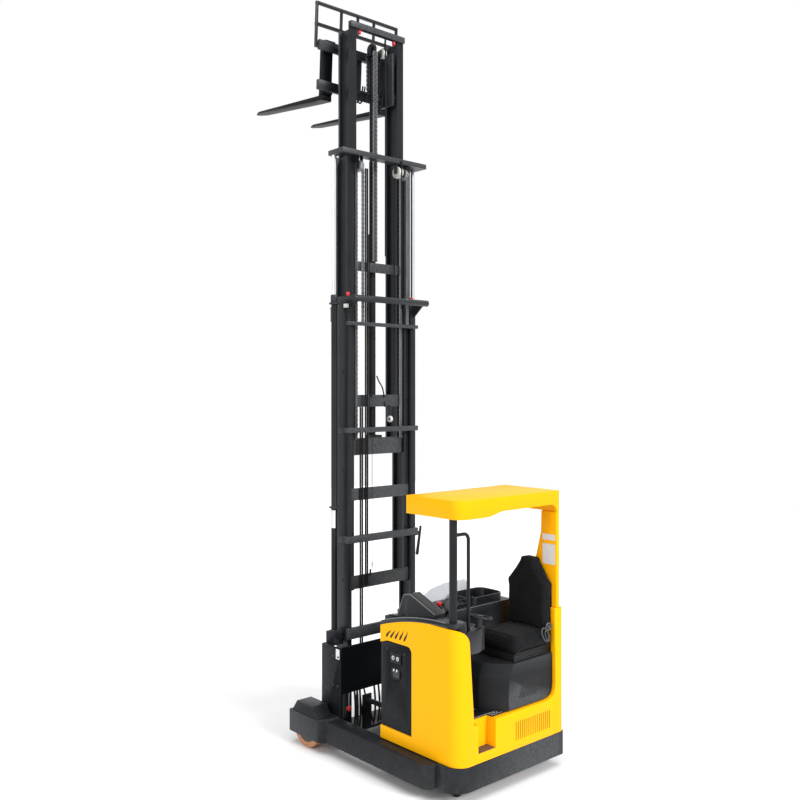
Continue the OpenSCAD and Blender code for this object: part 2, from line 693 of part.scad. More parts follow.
// Outer mast: [height, depth along Z, how far its arms reach forward]
outer_bars = [[3390, 30, 0], [2510, 42, 108], [1610, 58, 108], [830, 90, 0]];
module outer_mast() color(charcoal) truck() {
    bar_x0 = rail_x - 30;
    both() outer_rail(base_gap + 30, outer_top);
    for (b = outer_bars) translate([0, 0, b[0]]) linear_extrude(b[1]) difference() {
        translate([bar_x0, -rail_out - 20]) square([b[2] + 30, 2 * rail_out + 40]);
        translate([rail_x, -rail_out]) square([b[2] + 30, 2 * rail_out]);
    }
    rod_y(27, -407, 407, rail_x - 119, outer_top - 27);
    both() along_y(rail_out - 14, rail_out) polygon([[rail_x - 119, outer_top - 50],
        [rail_x - 119, outer_top - 10], [rail_x + 2, outer_top - 10], [rail_x + 2, outer_top - 150]]);
}
module lift_barrels() color(charcoal) truck() both() translate([lift_x, lift_y, 0]) {
    difference() {
        translate([0, 0, barrel_foot]) cylinder(d = barrel_d, h = outer_top + 10 - barrel_foot);
        translate([0, 0, barrel_foot + 15]) cylinder(d = rod_d + 2 * fit, h = outer_top - barrel_foot);
    }
    for (z = [1895, 3560]) translate([0, 0, z]) difference() {
        cylinder(r = 42, h = 14);
        translate([0, 0, -eps]) cylinder(d = barrel_d - 4, h = 20);
    }
}

// Middle mast: [height, depth along Z] of the plates behind its rails
mid_bars = [[mid_foot + 10, 110], [1950, 100]];
module mid_mast() color(charcoal) truck() {
    beam_y = lift_y + 27;
    both() stage_rail(mid_x, web_mid, mid_foot, mid_top);
    both() rod_y(rail_roller_r, web_mid - eps, rail_out - web_t - gap, rail_x + rail_d / 2, mid_foot + 70);
    for (b = mid_bars) block([mid_x - 10, -web_mid, b[0]], [mid_x + eps, web_mid, b[0] + b[1]]);
    translate([0, 0, mid_top - 10]) linear_extrude(40) difference() {
        translate([mid_x - 85, -beam_y]) square([lift_x + 45 - mid_x + 85, 2 * beam_y]);
        translate([mid_x, -beam_y + 62]) square([300, 2 * beam_y - 124]);
    }
    both() for (s = [-1, 1]) block([sheave_x - 18, chain_y + s * 20 - 3, sheave_z - 20],
        [sheave_x + 18, chain_y + s * 20 + 3, mid_top - 9]);
}
module lift_rods() color(steel) truck() both()
    translate([lift_x, lift_y, 1980]) cylinder(d = rod_d, h = mid_top - 10 - 1980);

// Chain over a wheel: the wheel, its pin and the two strands
module chain_loop(r, z_wheel, z_rear, z_front) {
    rotate([90, 0, 0]) translate([0, 0, -chain_w / 2 - 3]) rotate_extrude() polygon([[0, 0], [r + 4, 0],
        [r - 2, 3], [r - 2, chain_w + 3], [r + 4, chain_w + 6], [0, chain_w + 6]]);
    along_y(-chain_w / 2, chain_w / 2) intersection() {
        difference() { circle(r + chain_t / 2); circle(r - chain_t / 2); }
        translate([-100, 0]) square([200, 100]);
    }
    for (s = [[-r, z_rear], [r, z_front]])
        block([s[0] - chain_t / 2, -chain_w / 2, s[1] - z_wheel], [s[0] + chain_t / 2, chain_w / 2, 0]);
}
module lift_chains() color(black) truck() both() translate([sheave_x, chain_y, sheave_z]) {
    chain_loop(sheave_r, sheave_z, strand_rear, strand_low);
    rod_y(12, -17 + gap, 17 - gap, 0, 0);
}

// Inner mast, which carries the free-lift cylinder
inner_bars = [[inner_foot, 140], [2720, 100], [3850, 80]];
module inner_mast() color(charcoal) truck() {
    both() stage_rail(inner_x, web_inner, inner_foot, inner_top - 50 + eps);
    both() rod_y(rail_roller_r, web_inner - eps, web_mid - web_t - gap, mid_x + rail_d / 2, inner_foot + 70);
    for (b = inner_bars) block([inner_x - 10, -web_inner, b[0]], [inner_x + eps, web_inner, b[0] + b[1]]);
    block([inner_x - 22, -web_inner - flange_over, inner_top - 50], [inner_x + 20, web_inner + flange_over, inner_top]);
    difference() {
        block([inner_x - 9, -45, free_foot - 30], [free_x + 40, 45, free_foot - gap]);
        block([free_x - sheave_r - chain_t / 2 - 6, -chain_w / 2 - 6, free_foot - 40],
            [free_x - sheave_r + chain_t / 2 + 6, chain_w / 2 + 6, free_foot]);
    }
}
module free_lift_barrel() color(charcoal) truck() translate([free_x, 0, 0]) difference() {
    translate([0, 0, free_foot]) cylinder(d = free_d, h = free_top - free_foot);
    translate([0, 0, free_foot + 15]) cylinder(d = rod_d + 2 * fit, h = free_top - free_foot);
}
module crosshead() color(steel) truck() translate([free_x, 0, 0]) {
    translate([0, 0, free_rod_low]) cylinder(d = rod_d, h = head_z - 65 - free_rod_low);
    block([-26, -36, head_z - 66], [26, 36, head_z - sheave_r - 12]);
    both() block([-20, 22, head_z - 60], [20, 30, head_z + 20]);
    translate([0, 0, head_z]) {
        chain_loop(sheave_r, head_z, 3950, bar_low_z + 30 + gap);
        rod_y(10, -29, 29, 0, 0);
    }
}

// Fork carriage, with its rollers in the inner rails and the tilting frame's pins
module fork_carriage() color(charcoal) truck() {
    roller_x = inner_x + rail_d / 2;
    both() {
        block([roller_x - 45, plate_y - 20, bar_low_z - 60], [pivot_x - 30, plate_y, bar_top_z - 20]);
        for (z = [bar_low_z, bar_top_z - 80]) {
            rod_y(rail_roller_r, plate_y + 2, web_inner - web_t - gap, roller_x, z);
            rod_y(15, plate_y - eps, plate_y + 3, roller_x, z);
        }
        along_y(plate_y - 20, plate_y) polygon(concat([[pivot_x - 31, pivot_z - 40], [pivot_x - 31, pivot_z + 60]],
            arc(pivot_x, pivot_z, 22, 60, -90)));
        block([pivot_x - 31, plate_y - 20, bar_top_z - 95], [pivot_x - 8, plate_y, bar_top_z - 45]);
    }
    for (z = [bar_low_z - 40, bar_top_z - 100])
        block([pivot_x - 42, -plate_y + 19, z], [pivot_x - 30, plate_y - 19, z + 70]);
    block([free_x + free_d / 2 + 5, -20, bar_low_z + 20],
        [pivot_x - 41, 20, bar_low_z + 30]);
    rod_y(14, -plate_y + 19, plate_y - 19, pivot_x, pivot_z);
}

// Everything on the tilting frame is drawn upright and tipped about its pin
module tipped() translate([pivot_x, 0, pivot_z]) rotate([0, -fork_tip, 0])
    translate([-pivot_x, 0, -pivot_z]) children();
module fork_bars() color(charcoal) truck() tipped() {
    ear_y = plate_y - 20 - 6;
    for (z = [bar_low_z, bar_top_z - 80]) block([bar_x, -bar_half, z], [bar_x + bar_t, bar_half, z + 80]);
    for (y = [0, 150, -150]) block([bar_x, y - 25, bar_low_z + 79], [bar_x + bar_t - 8, y + 25, bar_top_z - 79]);
    both() difference() {
        along_y(ear_y - 22, ear_y) polygon(concat([[bar_x + eps, pivot_z + 45], [bar_x + eps, pivot_z - 40]],
            arc(pivot_x, pivot_z, 24, 270, 90)));
        rod_y(14 + fit, ear_y - 30, ear_y + 10, pivot_x, pivot_z);
    }
}
module one_fork() tipped() difference() {
    heel_r = 12;
    union() {
        block([shank_x, -fork_w / 2, heel_z], [shank_x + shank_t, fork_w / 2, bar_top_z + 20]);
        translate([shank_x, 0, heel_z]) rotate([0, -toe_up, 0]) linear_extrude(fork_t) polygon([[0, -fork_w / 2],
            [fork_len - 90, -fork_w / 2], [fork_len - 25, -fork_w / 4], [fork_len, -fork_w / 8],
            [fork_len, fork_w / 8], [fork_len - 25, fork_w / 4], [fork_len - 90, fork_w / 2], [0, fork_w / 2]]);
        translate([shank_x + shank_t, 0, heel_z]) rotate([0, -toe_up, 0]) along_y(-fork_w / 2, fork_w / 2)
            polygon(concat([[heel_r, fork_t - 1], [-5, fork_t - 1], [-5, fork_t + 1 + heel_r]],
                arc(heel_r, fork_t + 1 + heel_r, heel_r, 180, 270, 5)));
        for (z = [bar_low_z - 14, bar_top_z + gap]) block([bar_x + bar_t + gap, -fork_w / 2, z],
            [shank_x + eps, fork_w / 2, z + 14 - gap]);
        block([bar_x + 8, -fork_w / 2, bar_top_z + gap], [bar_x + bar_t + 1, fork_w / 2, bar_top_z + 14]);
    }
    translate([shank_x, 0, heel_z]) rotate([0, -toe_up, 0]) along_y(-fork_w, fork_w)
        polygon([[120, -60], [fork_len + 60, -60], [fork_len + 60, fork_t - tip_t],
            [fork_len, fork_t - tip_t], [120, 0]]);
}
module fork_left() color(charcoal) truck() translate([0, fork_y, 0]) one_fork();
module fork_right() color(charcoal) truck() translate([0, -fork_y, 0]) one_fork();
module backrest() color(charcoal) truck() tipped() {
    low = bar_top_z - 60;
    x0 = bar_x + bar_t + gap;
    for (z = [5910, backrest_top - 25]) block([x0, -450, z], [x0 + 25, 450, z + 25]);
    for (y = [-180, 0, 180]) block([x0 + 3, y - 10, 5910], [x0 + 22, y + 10, backrest_top]);
    both() {
        block([x0, 430, low], [x0 + 22, 450, backrest_top]);
        block([x0, 410, low], [x0 + 22, 450, low + 45]);
    }
}

base_frame();
leg_left();
leg_right();
body_left();
access_panel();
body_rear();
body_right();
front_wall();
floor_plate();
battery();
dash_cowl();
front_console();
controls();
screen();
guard_roof();
rear_pillar();
guard_post();
seat_pedestal();
seat_bellows();
seat_cushion();
seat_back();
seat_lever();
steering_wheel();
drive_unit();
drive_wheel();
castor_fork();
castor_wheel();
load_wheel_left();
load_wheel_right();
reach_barrel();
reach_rod();
carriage_frame();
outer_mast();
lift_barrels();
mid_mast();
lift_rods();
lift_chains();
inner_mast();
free_lift_barrel();
crosshead();
fork_carriage();
fork_bars();
fork_left();
fork_right();
backrest();
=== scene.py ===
import bpy, math
from mathutils import Vector, Matrix


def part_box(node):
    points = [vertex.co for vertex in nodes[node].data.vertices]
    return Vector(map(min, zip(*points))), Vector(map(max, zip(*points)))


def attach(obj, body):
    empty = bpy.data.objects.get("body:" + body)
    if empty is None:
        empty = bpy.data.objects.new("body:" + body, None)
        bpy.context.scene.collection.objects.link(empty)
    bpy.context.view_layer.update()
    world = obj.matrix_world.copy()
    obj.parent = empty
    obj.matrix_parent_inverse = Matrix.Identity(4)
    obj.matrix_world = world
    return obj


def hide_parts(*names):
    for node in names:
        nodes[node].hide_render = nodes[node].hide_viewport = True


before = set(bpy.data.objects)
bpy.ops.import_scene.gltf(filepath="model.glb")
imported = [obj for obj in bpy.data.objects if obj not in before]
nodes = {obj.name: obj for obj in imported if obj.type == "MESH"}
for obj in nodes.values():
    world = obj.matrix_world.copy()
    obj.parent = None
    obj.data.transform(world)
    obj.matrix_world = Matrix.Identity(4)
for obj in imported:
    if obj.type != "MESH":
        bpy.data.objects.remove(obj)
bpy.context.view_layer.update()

midX = 1.446209  # rear face to the middle of the truck: places below count from the rear face


# Tools of the trade

def at(x, y, z):
    return Vector((x - midX, y, z))


def pick(*objs):
    if bpy.context.mode != "OBJECT":
        bpy.ops.object.mode_set(mode="OBJECT")
    bpy.ops.object.select_all(action="DESELECT")
    for o in objs:
        o.select_set(True)
    if objs:
        bpy.context.view_layer.objects.active = objs[0]


def settle(o):  # place, turn and size go into the mesh
    pick(o)
    bpy.ops.object.transform_apply(location=True, rotation=True, scale=True)
    return o


def modify(o, kind, **values):
    pick(o)
    m = o.modifiers.new(kind.lower(), kind)
    for key, value in values.items():
        setattr(m, key, value)
    bpy.ops.object.modifier_apply(modifier=m.name)
    return o


def roundOff(o, width, steps=2, angle=30):
    return modify(o, "BEVEL", width=width, segments=steps, limit_method="ANGLE",
                  angle_limit=math.radians(angle), use_clamp_overlap=True)


def block(name, low, high, edge=0.0, steps=2):
    pick()
    a, b = at(*low), at(*high)
    bpy.ops.mesh.primitive_cube_add(size=1, location=(a + b) / 2)
    o = bpy.context.object
    o.name = name
    o.scale = b - a
    settle(o)
    return roundOff(o, edge, steps) if edge else o


def rod(name, start, end, r, sides=24, edge=0.0, r2=None):
    pick()
    a, b = at(*start), at(*end)
    bpy.ops.mesh.primitive_cone_add(vertices=sides, radius1=r, radius2=r if r2 is None else r2,
                                    depth=(b - a).length, location=(a + b) / 2,
                                    rotation=(b - a).to_track_quat("Z", "Y").to_euler())
    o = bpy.context.object
    o.name = name
    settle(o)
    return roundOff(o, edge, 2, 50) if edge else o


def ring(name, centre, axis, big, small, sides=48, around=12):
    pick()
    bpy.ops.mesh.primitive_torus_add(major_radius=big, minor_radius=small, major_segments=sides,
                                     minor_segments=around, location=at(*centre),
                                     rotation=Vector(axis).to_track_quat("Z", "Y").to_euler())
    o = bpy.context.object
    o.name = name
    return settle(o)


def flowing(points, per=8):  # a smooth line through the points
    pts = [Vector(p) for p in points]
    out = []
    for i in range(len(pts) - 1):
        a, b, c, d = pts[max(i - 1, 0)], pts[i], pts[i + 1], pts[min(i + 2, len(pts) - 1)]
        for k in range(per):
            t = k / per
            out.append(0.5 * ((2 * b) + (c - a) * t + (2 * a - 5 * b + 4 * c - d) * t * t
                              + (3 * b - a - 3 * c + d) * t ** 3))
    return out + [pts[-1]]


def tube(name, points, r, sides=3, smooth=True):
    line = bpy.data.curves.new(name, "CURVE")
    line.dimensions = "3D"
    line.bevel_depth = r
    line.bevel_resolution = sides
    line.use_fill_caps = True
    pts = flowing([at(*p) for p in points]) if smooth else [at(*p) for p in points]
    s = line.splines.new("POLY")
    s.points.add(len(pts) - 1)
    for q, p in zip(s.points, pts):
        q.co = (*p, 1)
    o = bpy.data.objects.new(name, line)
    bpy.context.collection.objects.link(o)
    pick(o)
    bpy.ops.object.convert(target="MESH")
    return bpy.context.object


def merge(name, parts):
    pick(*parts)
    if len(parts) > 1:
        bpy.ops.object.join()
    o = bpy.context.object
    o.name = name
    return o


def mirrored(o):  # a copy on the truck's other side
    pick(o)
    bpy.ops.object.duplicate()
    c = bpy.context.object
    c.scale = (1, -1, 1)
    settle(c)
    bpy.ops.object.mode_set(mode="EDIT")
    bpy.ops.mesh.select_all(action="SELECT")
    bpy.ops.mesh.normals_make_consistent(inside=False)
    bpy.ops.object.mode_set(mode="OBJECT")
    return c


def outline(name, points, plane, low, high, edge=0.0):  # a flat outline pushed along one axis
    pick()
    bpy.ops.mesh.primitive_circle_add(vertices=len(points), radius=1, fill_type="NGON")
    o = bpy.context.object
    o.name = name
    for v, p in zip(o.data.vertices, points):
        v.co = {"x": at(low, p[0], p[1]), "y": at(p[0], low, p[1]), "z": at(p[0], p[1], low)}[plane]
    push = {"x": (high - low, 0, 0), "y": (0, high - low, 0), "z": (0, 0, high - low)}[plane]
    bpy.ops.object.mode_set(mode="EDIT")
    bpy.ops.mesh.select_all(action="SELECT")
    bpy.ops.mesh.extrude_region_move(TRANSFORM_OT_translate={"value": push})
    bpy.ops.mesh.select_all(action="SELECT")
    bpy.ops.mesh.normals_make_consistent(inside=False)
    bpy.ops.object.mode_set(mode="OBJECT")
    return roundOff(o, edge) if edge else o


def finish(o, body, look, angle=35):
    settle(o)
    bpy.ops.object.shade_smooth_by_angle(angle=math.radians(angle))
    o.data.materials.clear()
    o.data.materials.append(look)
    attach(o, body)
    return o


# Camera at the photograph's place
cameraSet = {"place": (-4.398, 4.994, 2.877), "heading": (0.7484, -0.6632), "lens": 41.18, "shift": -0.015}
bpy.ops.object.camera_add(location=at(*cameraSet["place"]))
camera = bpy.context.object
camera.rotation_euler = (math.radians(90), 0, math.atan2(-cameraSet["heading"][0], cameraSet["heading"][1]))
camera.data.lens = cameraSet["lens"]
camera.data.sensor_width = 36
camera.data.shift_y = cameraSet["shift"]
bpy.context.scene.camera = camera
print("camera set")


# Shared effects, each one a node group

def newGroup(name, inputs, outputs):
    g = bpy.data.node_groups.new(name, "ShaderNodeTree")
    for label, kind, value in inputs:
        s = g.interface.new_socket(name=label, in_out="INPUT", socket_type=kind)
        s.default_value = value
    for label, kind in outputs:
        g.interface.new_socket(name=label, in_out="OUTPUT", socket_type=kind)
    return g, g.nodes.new("NodeGroupInput"), g.nodes.new("NodeGroupOutput")


def maths(tree, op, a, b=None, clamp=False):
    n = tree.nodes.new("ShaderNodeMath")
    n.operation = op
    n.use_clamp = clamp
    for i, v in enumerate((a, b)):
        if v is None:
            continue
        if isinstance(v, (int, float)):
            n.inputs[i].default_value = v
        else:
            tree.links.new(v, n.inputs[i])
    return n.outputs[0]


def noise(tree, where, scale, detail=3.0, rough=0.5):
    n = tree.nodes.new("ShaderNodeTexNoise")
    n.inputs["Detail"].default_value = detail
    n.inputs["Roughness"].default_value = rough
    tree.links.new(where, n.inputs["Vector"])
    if isinstance(scale, (int, float)):
        n.inputs["Scale"].default_value = scale
    else:
        tree.links.new(scale, n.inputs["Scale"])
    return n.outputs["Fac"]


def ramp(tree, value, low, high, toLow=0.0, toHigh=1.0):
    n = tree.nodes.new("ShaderNodeMapRange")
    n.inputs["From Min"].default_value = low
    n.inputs["From Max"].default_value = high
    n.inputs["To Min"].default_value = toLow
    n.inputs["To Max"].default_value = toHigh
    tree.links.new(value, n.inputs["Value"])
    return n.outputs["Result"]


def mixed(tree, fac, a, b):
    n = tree.nodes.new("ShaderNodeMix")
    n.data_type = "RGBA"
    for socket, v in ((n.inputs[0], fac), (n.inputs[6], a), (n.inputs[7], b)):
        if isinstance(v, (int, float)):
            socket.default_value = v
        elif isinstance(v, tuple):
            socket.default_value = (*v, 1) if len(v) == 3 else v
        else:
            tree.links.new(v, socket)
    return n.outputs[2]


def place(tree):
    return tree.nodes.new("ShaderNodeTexCoord").outputs["Object"]


# Slow drift of colour and gloss over a painted or moulded surface
drift, gi, go = newGroup("surfaceDrift", [("Colour", "NodeSocketColor", (0.5, 0.5, 0.5, 1)),
                                          ("Second colour", "NodeSocketColor", (0.4, 0.4, 0.4, 1)),
                                          ("Scale", "NodeSocketFloat", 6.0),
                                          ("Gloss low", "NodeSocketFloat", 0.35),
                                          ("Gloss high", "NodeSocketFloat", 0.5)],
                         [("Colour", "NodeSocketColor"), ("Roughness", "NodeSocketFloat")])
p = place(drift)
n1 = noise(drift, p, gi.outputs["Scale"], 4, 0.6)
n2 = noise(drift, p, maths(drift, "MULTIPLY", gi.outputs["Scale"], 7.0), 3, 0.6)
spread = ramp(drift, n1, 0.35, 0.68)
drift.links.new(mixed(drift, spread, gi.outputs["Colour"], gi.outputs["Second colour"]), go.inputs["Colour"])
span = maths(drift, "SUBTRACT", gi.outputs["Gloss high"], gi.outputs["Gloss low"])
drift.links.new(maths(drift, "ADD", maths(drift, "MULTIPLY", span, n2), gi.outputs["Gloss low"]),
                go.inputs["Roughness"])

# Fine bumps of powder coat, or orange peel at a larger scale
peel, gi, go = newGroup("coatBumps", [("Scale", "NodeSocketFloat", 400.0), ("Amount", "NodeSocketFloat", 1.0)],
                        [("Height", "NodeSocketFloat")])
p = place(peel)
fine = noise(peel, p, gi.outputs["Scale"], 2, 0.5)
peel.links.new(maths(peel, "MULTIPLY", fine, gi.outputs["Amount"]), go.inputs["Height"])

# Painted highlight along edges, partly paint rubbed thin: a lighter colour mixed in where the surface is pointy, broken
# up by noise
edgeHighlightWear, gi, go = newGroup("edgeHighlightAndWear", [("Colour", "NodeSocketColor", (0.1, 0.1, 0.1, 1)),
                                    ("Rubbed", "NodeSocketColor", (0.4, 0.4, 0.4, 1)),
                                    ("Amount", "NodeSocketFloat", 0.5)],
                        [("Colour", "NodeSocketColor"), ("Mask", "NodeSocketFloat")])
edge = edgeHighlightWear.nodes.new("ShaderNodeNewGeometry").outputs["Pointiness"]
broken = noise(edgeHighlightWear, place(edgeHighlightWear), 60.0, 4, 0.7)
edgeLightMask = maths(edgeHighlightWear, "MULTIPLY", ramp(edgeHighlightWear, edge, 0.535, 0.60), ramp(edgeHighlightWear, broken, 0.35, 0.6, 0.35, 1.0))
edgeLightMask = maths(edgeHighlightWear, "MULTIPLY", edgeLightMask, gi.outputs["Amount"], True)
edgeHighlightWear.links.new(mixed(edgeHighlightWear, edgeLightMask, gi.outputs["Colour"], gi.outputs["Rubbed"]), go.inputs["Colour"])
edgeHighlightWear.links.new(edgeLightMask, go.inputs["Mask"])

# Dust that gathers near the floor
dust, gi, go = newGroup("floorDust", [("Colour", "NodeSocketColor", (0.1, 0.1, 0.1, 1)),
                                      ("Top", "NodeSocketFloat", 0.35), ("Amount", "NodeSocketFloat", 0.15)],
                        [("Colour", "NodeSocketColor")])
p = place(dust)
split = dust.nodes.new("ShaderNodeSeparateXYZ")
dust.links.new(p, split.inputs[0])
low = maths(dust, "SUBTRACT", 1.0, maths(dust, "DIVIDE", split.outputs["Z"], gi.outputs["Top"]), True)
spots = ramp(dust, noise(dust, p, 18.0, 5, 0.65), 0.4, 0.7)
amount = maths(dust, "MULTIPLY", maths(dust, "MULTIPLY", low, spots), gi.outputs["Amount"], True)
dust.links.new(mixed(dust, amount, gi.outputs["Colour"], (0.32, 0.29, 0.25)), go.inputs["Colour"])

# Woven cloth: warp and weft ribs at a small pitch
weave, gi, go = newGroup("clothWeave", [("Scale", "NodeSocketFloat", 900.0)],
                         [("Height", "NodeSocketFloat"), ("Mask", "NodeSocketFloat")])
p = place(weave)
split = weave.nodes.new("ShaderNodeSeparateXYZ")
weave.links.new(p, split.inputs[0])
warp = maths(weave, "SINE", maths(weave, "MULTIPLY", split.outputs["X"], gi.outputs["Scale"]))
across = maths(weave, "ADD", split.outputs["Y"], split.outputs["Z"])
weft = maths(weave, "SINE", maths(weave, "MULTIPLY", across, gi.outputs["Scale"]))
ribs = maths(weave, "MULTIPLY", warp, weft)
weave.links.new(ribs, go.inputs["Height"])
weave.links.new(ramp(weave, ribs, -0.6, 0.9), go.inputs["Mask"])

# Pebbled skin of moulded plastic and vinyl
pebble, gi, go = newGroup("mouldedSkin", [("Scale", "NodeSocketFloat", 260.0)], [("Height", "NodeSocketFloat")])
cells = pebble.nodes.new("ShaderNodeTexVoronoi")
pebble.links.new(place(pebble), cells.inputs["Vector"])
pebble.links.new(gi.outputs["Scale"], cells.inputs["Scale"])
pebble.links.new(ramp(pebble, cells.outputs["Distance"], 0.0, 0.6), go.inputs["Height"])


def useGroup(tree, group, **values):
    n = tree.nodes.new("ShaderNodeGroup")
    n.node_tree = group
    for key, value in values.items():
        s = n.inputs[key.replace("_", " ")]
        if isinstance(value, tuple):
            s.default_value = (*value, 1)
        elif isinstance(value, (int, float)):
            s.default_value = value
        else:
            tree.links.new(value, s)
    return n


def look(name, first, second, gloss, bump=None, drifting=5.0, edgeHighlight=None, dusty=0.0, metal=0.0, **sockets):
    m = bpy.data.materials.new(name)
    m.use_nodes = True
    t = m.node_tree
    shader = t.nodes["Principled BSDF"]
    base = useGroup(t, drift, Colour=first, Second_colour=second, Scale=drifting,
                    Gloss_low=gloss[0], Gloss_high=gloss[1])
    colour = base.outputs["Colour"]
    # Painted edge highlight, partly edge wear, mixed in over the base colour
    if edgeHighlight:
        colour = useGroup(t, edgeHighlightWear, Colour=colour, Rubbed=edgeHighlight[0], Amount=edgeHighlight[1]).outputs["Colour"]
    if dusty:
        colour = useGroup(t, dust, Colour=colour, Amount=dusty).outputs["Colour"]
    t.links.new(colour, shader.inputs["Base Color"])
    t.links.new(base.outputs["Roughness"], shader.inputs["Roughness"])
    shader.inputs["Metallic"].default_value = metal
    if bump:
        kind, scale, strength, distance = bump
        g = useGroup(t, kind, Scale=scale)
        b = t.nodes.new("ShaderNodeBump")
        b.inputs["Strength"].default_value = strength
        b.inputs["Distance"].default_value = distance
        t.links.new(g.outputs["Height"], b.inputs["Height"])
        t.links.new(b.outputs["Normal"], shader.inputs["Normal"])
    for key, value in sockets.items():
        shader.inputs[key.replace("_", " ")].default_value = value
    return m


paint = {
    "chassis": look("charcoalChassis", (0.0085, 0.0105, 0.0130), (0.0105, 0.0125, 0.0155), (0.30, 0.42),
                    (peel, 700.0, 0.12, 0.0003), edgeHighlight=((0.10, 0.11, 0.12), 0.5), dusty=0.06, Specular_IOR_Level=0.16),
    "mast": look("charcoalMast", (0.0120, 0.0138, 0.0165), (0.0165, 0.0188, 0.0215), (0.26, 0.38),
                 (peel, 520.0, 0.14, 0.0003), edgeHighlight=((0.15, 0.16, 0.17), 0.6), Specular_IOR_Level=0.18),
    "plate": look("blackPlate", (0.0045, 0.0055, 0.0072), (0.0060, 0.0072, 0.0090), (0.32, 0.44),
                  (peel, 600.0, 0.14, 0.0003), edgeHighlight=((0.08, 0.09, 0.10), 0.5), Specular_IOR_Level=0.08),
    "yellow": look("yellowBody", (0.975, 0.455, 0.0028), (0.965, 0.447, 0.0025), (0.42, 0.48),
                   (peel, 160.0, 0.02, 0.0002), drifting=1.2, Specular_IOR_Level=0.06, Coat_Weight=0.05, Coat_Roughness=0.10),
    "dash": look("dashPlastic", (0.0070, 0.0082, 0.0102), (0.0088, 0.0100, 0.0120), (0.26, 0.38),
                 (pebble, 320.0, 0.16, 0.0003), edgeHighlight=((0.14, 0.15, 0.16), 0.7), Specular_IOR_Level=0.20),
    "pedestal": look("pedestalShell", (0.0070, 0.0082, 0.0100), (0.0088, 0.0100, 0.0120), (0.40, 0.50),
                     (pebble, 380.0, 0.10, 0.0003), edgeHighlight=((0.10, 0.11, 0.12), 0.6), Specular_IOR_Level=0.20),
    "bellows": look("bellowsRubber", (0.0120, 0.0125, 0.0135), (0.0150, 0.0155, 0.0165), (0.35, 0.48),
                    (peel, 500.0, 0.12, 0.0003), Specular_IOR_Level=0.45),
    "vinyl": look("seatVinyl", (0.0055, 0.0060, 0.0066), (0.0080, 0.0085, 0.0090), (0.42, 0.56),
                  (pebble, 500.0, 0.25, 0.0004), Specular_IOR_Level=0.14),
    "thread": look("seamThread", (0.030, 0.031, 0.033), (0.020, 0.021, 0.022), (0.6, 0.7), (peel, 900.0, 0.3, 0.0003)),
    "hose": look("hoseRubber", (0.0050, 0.0050, 0.0055), (0.0080, 0.0080, 0.0085), (0.42, 0.56), (peel, 300.0, 0.15, 0.0003), Specular_IOR_Level=0.15),
    "tyre": look("orangeTread", (0.50, 0.19, 0.045), (0.42, 0.15, 0.035), (0.35, 0.5),
                 (peel, 120.0, 0.2, 0.0006), dusty=0.5),
    "chrome": look("polishedRod", (0.78, 0.80, 0.82), (0.70, 0.73, 0.76), (0.10, 0.18), (peel, 90.0, 0.02, 0.0002),
                   metal=1.0),
    "chain": look("oiledChain", (0.34, 0.35, 0.37), (0.26, 0.27, 0.29), (0.26, 0.38),
                  (peel, 800.0, 0.2, 0.0003), metal=0.6),
    "zinc": look("zincBolt", (0.42, 0.43, 0.44), (0.34, 0.35, 0.36), (0.3, 0.42), (peel, 900.0, 0.2, 0.0002), metal=0.9),
    "blackBolt": look("blackBolt", (0.012, 0.012, 0.013), (0.02, 0.02, 0.022), (0.35, 0.5), (peel, 900.0, 0.2, 0.0002)),
    "tube": look("tubePaint", (0.0080, 0.0095, 0.0118), (0.0105, 0.0125, 0.0150), (0.26, 0.38), (peel, 520.0, 0.10, 0.0003),
                 Specular_IOR_Level=0.2),
    # Painted highlight colour for the thin lines laid along lit edges
    "edge": look("paintedEdgeHighlight", (0.160, 0.170, 0.185), (0.120, 0.130, 0.140), (0.25, 0.35), (peel, 500.0, 0.05, 0.0002)),
    "red": look("redPlastic", (0.62, 0.015, 0.02), (0.55, 0.012, 0.016), (0.3, 0.4), (peel, 300.0, 0.1, 0.0003)),
    "white": look("whiteNylon", (0.62, 0.62, 0.59), (0.55, 0.55, 0.52), (0.4, 0.5), (peel, 260.0, 0.15, 0.0003)),
    "label": look("blankLabel", (0.72, 0.73, 0.74), (0.66, 0.67, 0.68), (0.3, 0.4), (peel, 260.0, 0.05, 0.0002)),
    "mat": look("stepMat", (0.105, 0.060, 0.035), (0.080, 0.046, 0.028), (0.7, 0.85), (pebble, 220.0, 0.5, 0.0008)),
    # The two looks below are painted shade for openings: dark sheets set in slots and vents
    "shade": look("slotShade", (0.035, 0.028, 0.010), (0.025, 0.020, 0.008), (0.7, 0.85), (peel, 300.0, 0.2, 0.0003)),
    "dark": look("paintedOpeningShade", (0.006, 0.006, 0.007), (0.009, 0.009, 0.010), (0.6, 0.75), (peel, 300.0, 0.2, 0.0003)),
    "lever": look("leverGrey", (0.050, 0.053, 0.058), (0.035, 0.038, 0.042), (0.3, 0.42), (peel, 400.0, 0.1, 0.0003)),
    # Tread plate: base colour raised as painted light where the pedestal and dash shade it, with a painted highlight on
    # its edges
    "treadPlate": look("treadPlate", (0.72, 0.73, 0.75), (0.58, 0.59, 0.61), (0.36, 0.5), (peel, 500.0, 0.3, 0.0004),
                       edgeHighlight=((0.85, 0.85, 0.85), 0.6)),
}

# Cloth of the seat, with its own weave and a soft nap
cloth = look("seatCloth", (0.0055, 0.0060, 0.0070), (0.0090, 0.0095, 0.0105), (0.75, 0.9), (weave, 1500.0, 0.3, 0.0005),
             Sheen_Weight=0.06, Sheen_Roughness=0.5, Specular_IOR_Level=0.10)
cloth.node_tree.nodes["Principled BSDF"].inputs["Sheen Tint"].default_value = (0.5, 0.52, 0.55, 1)

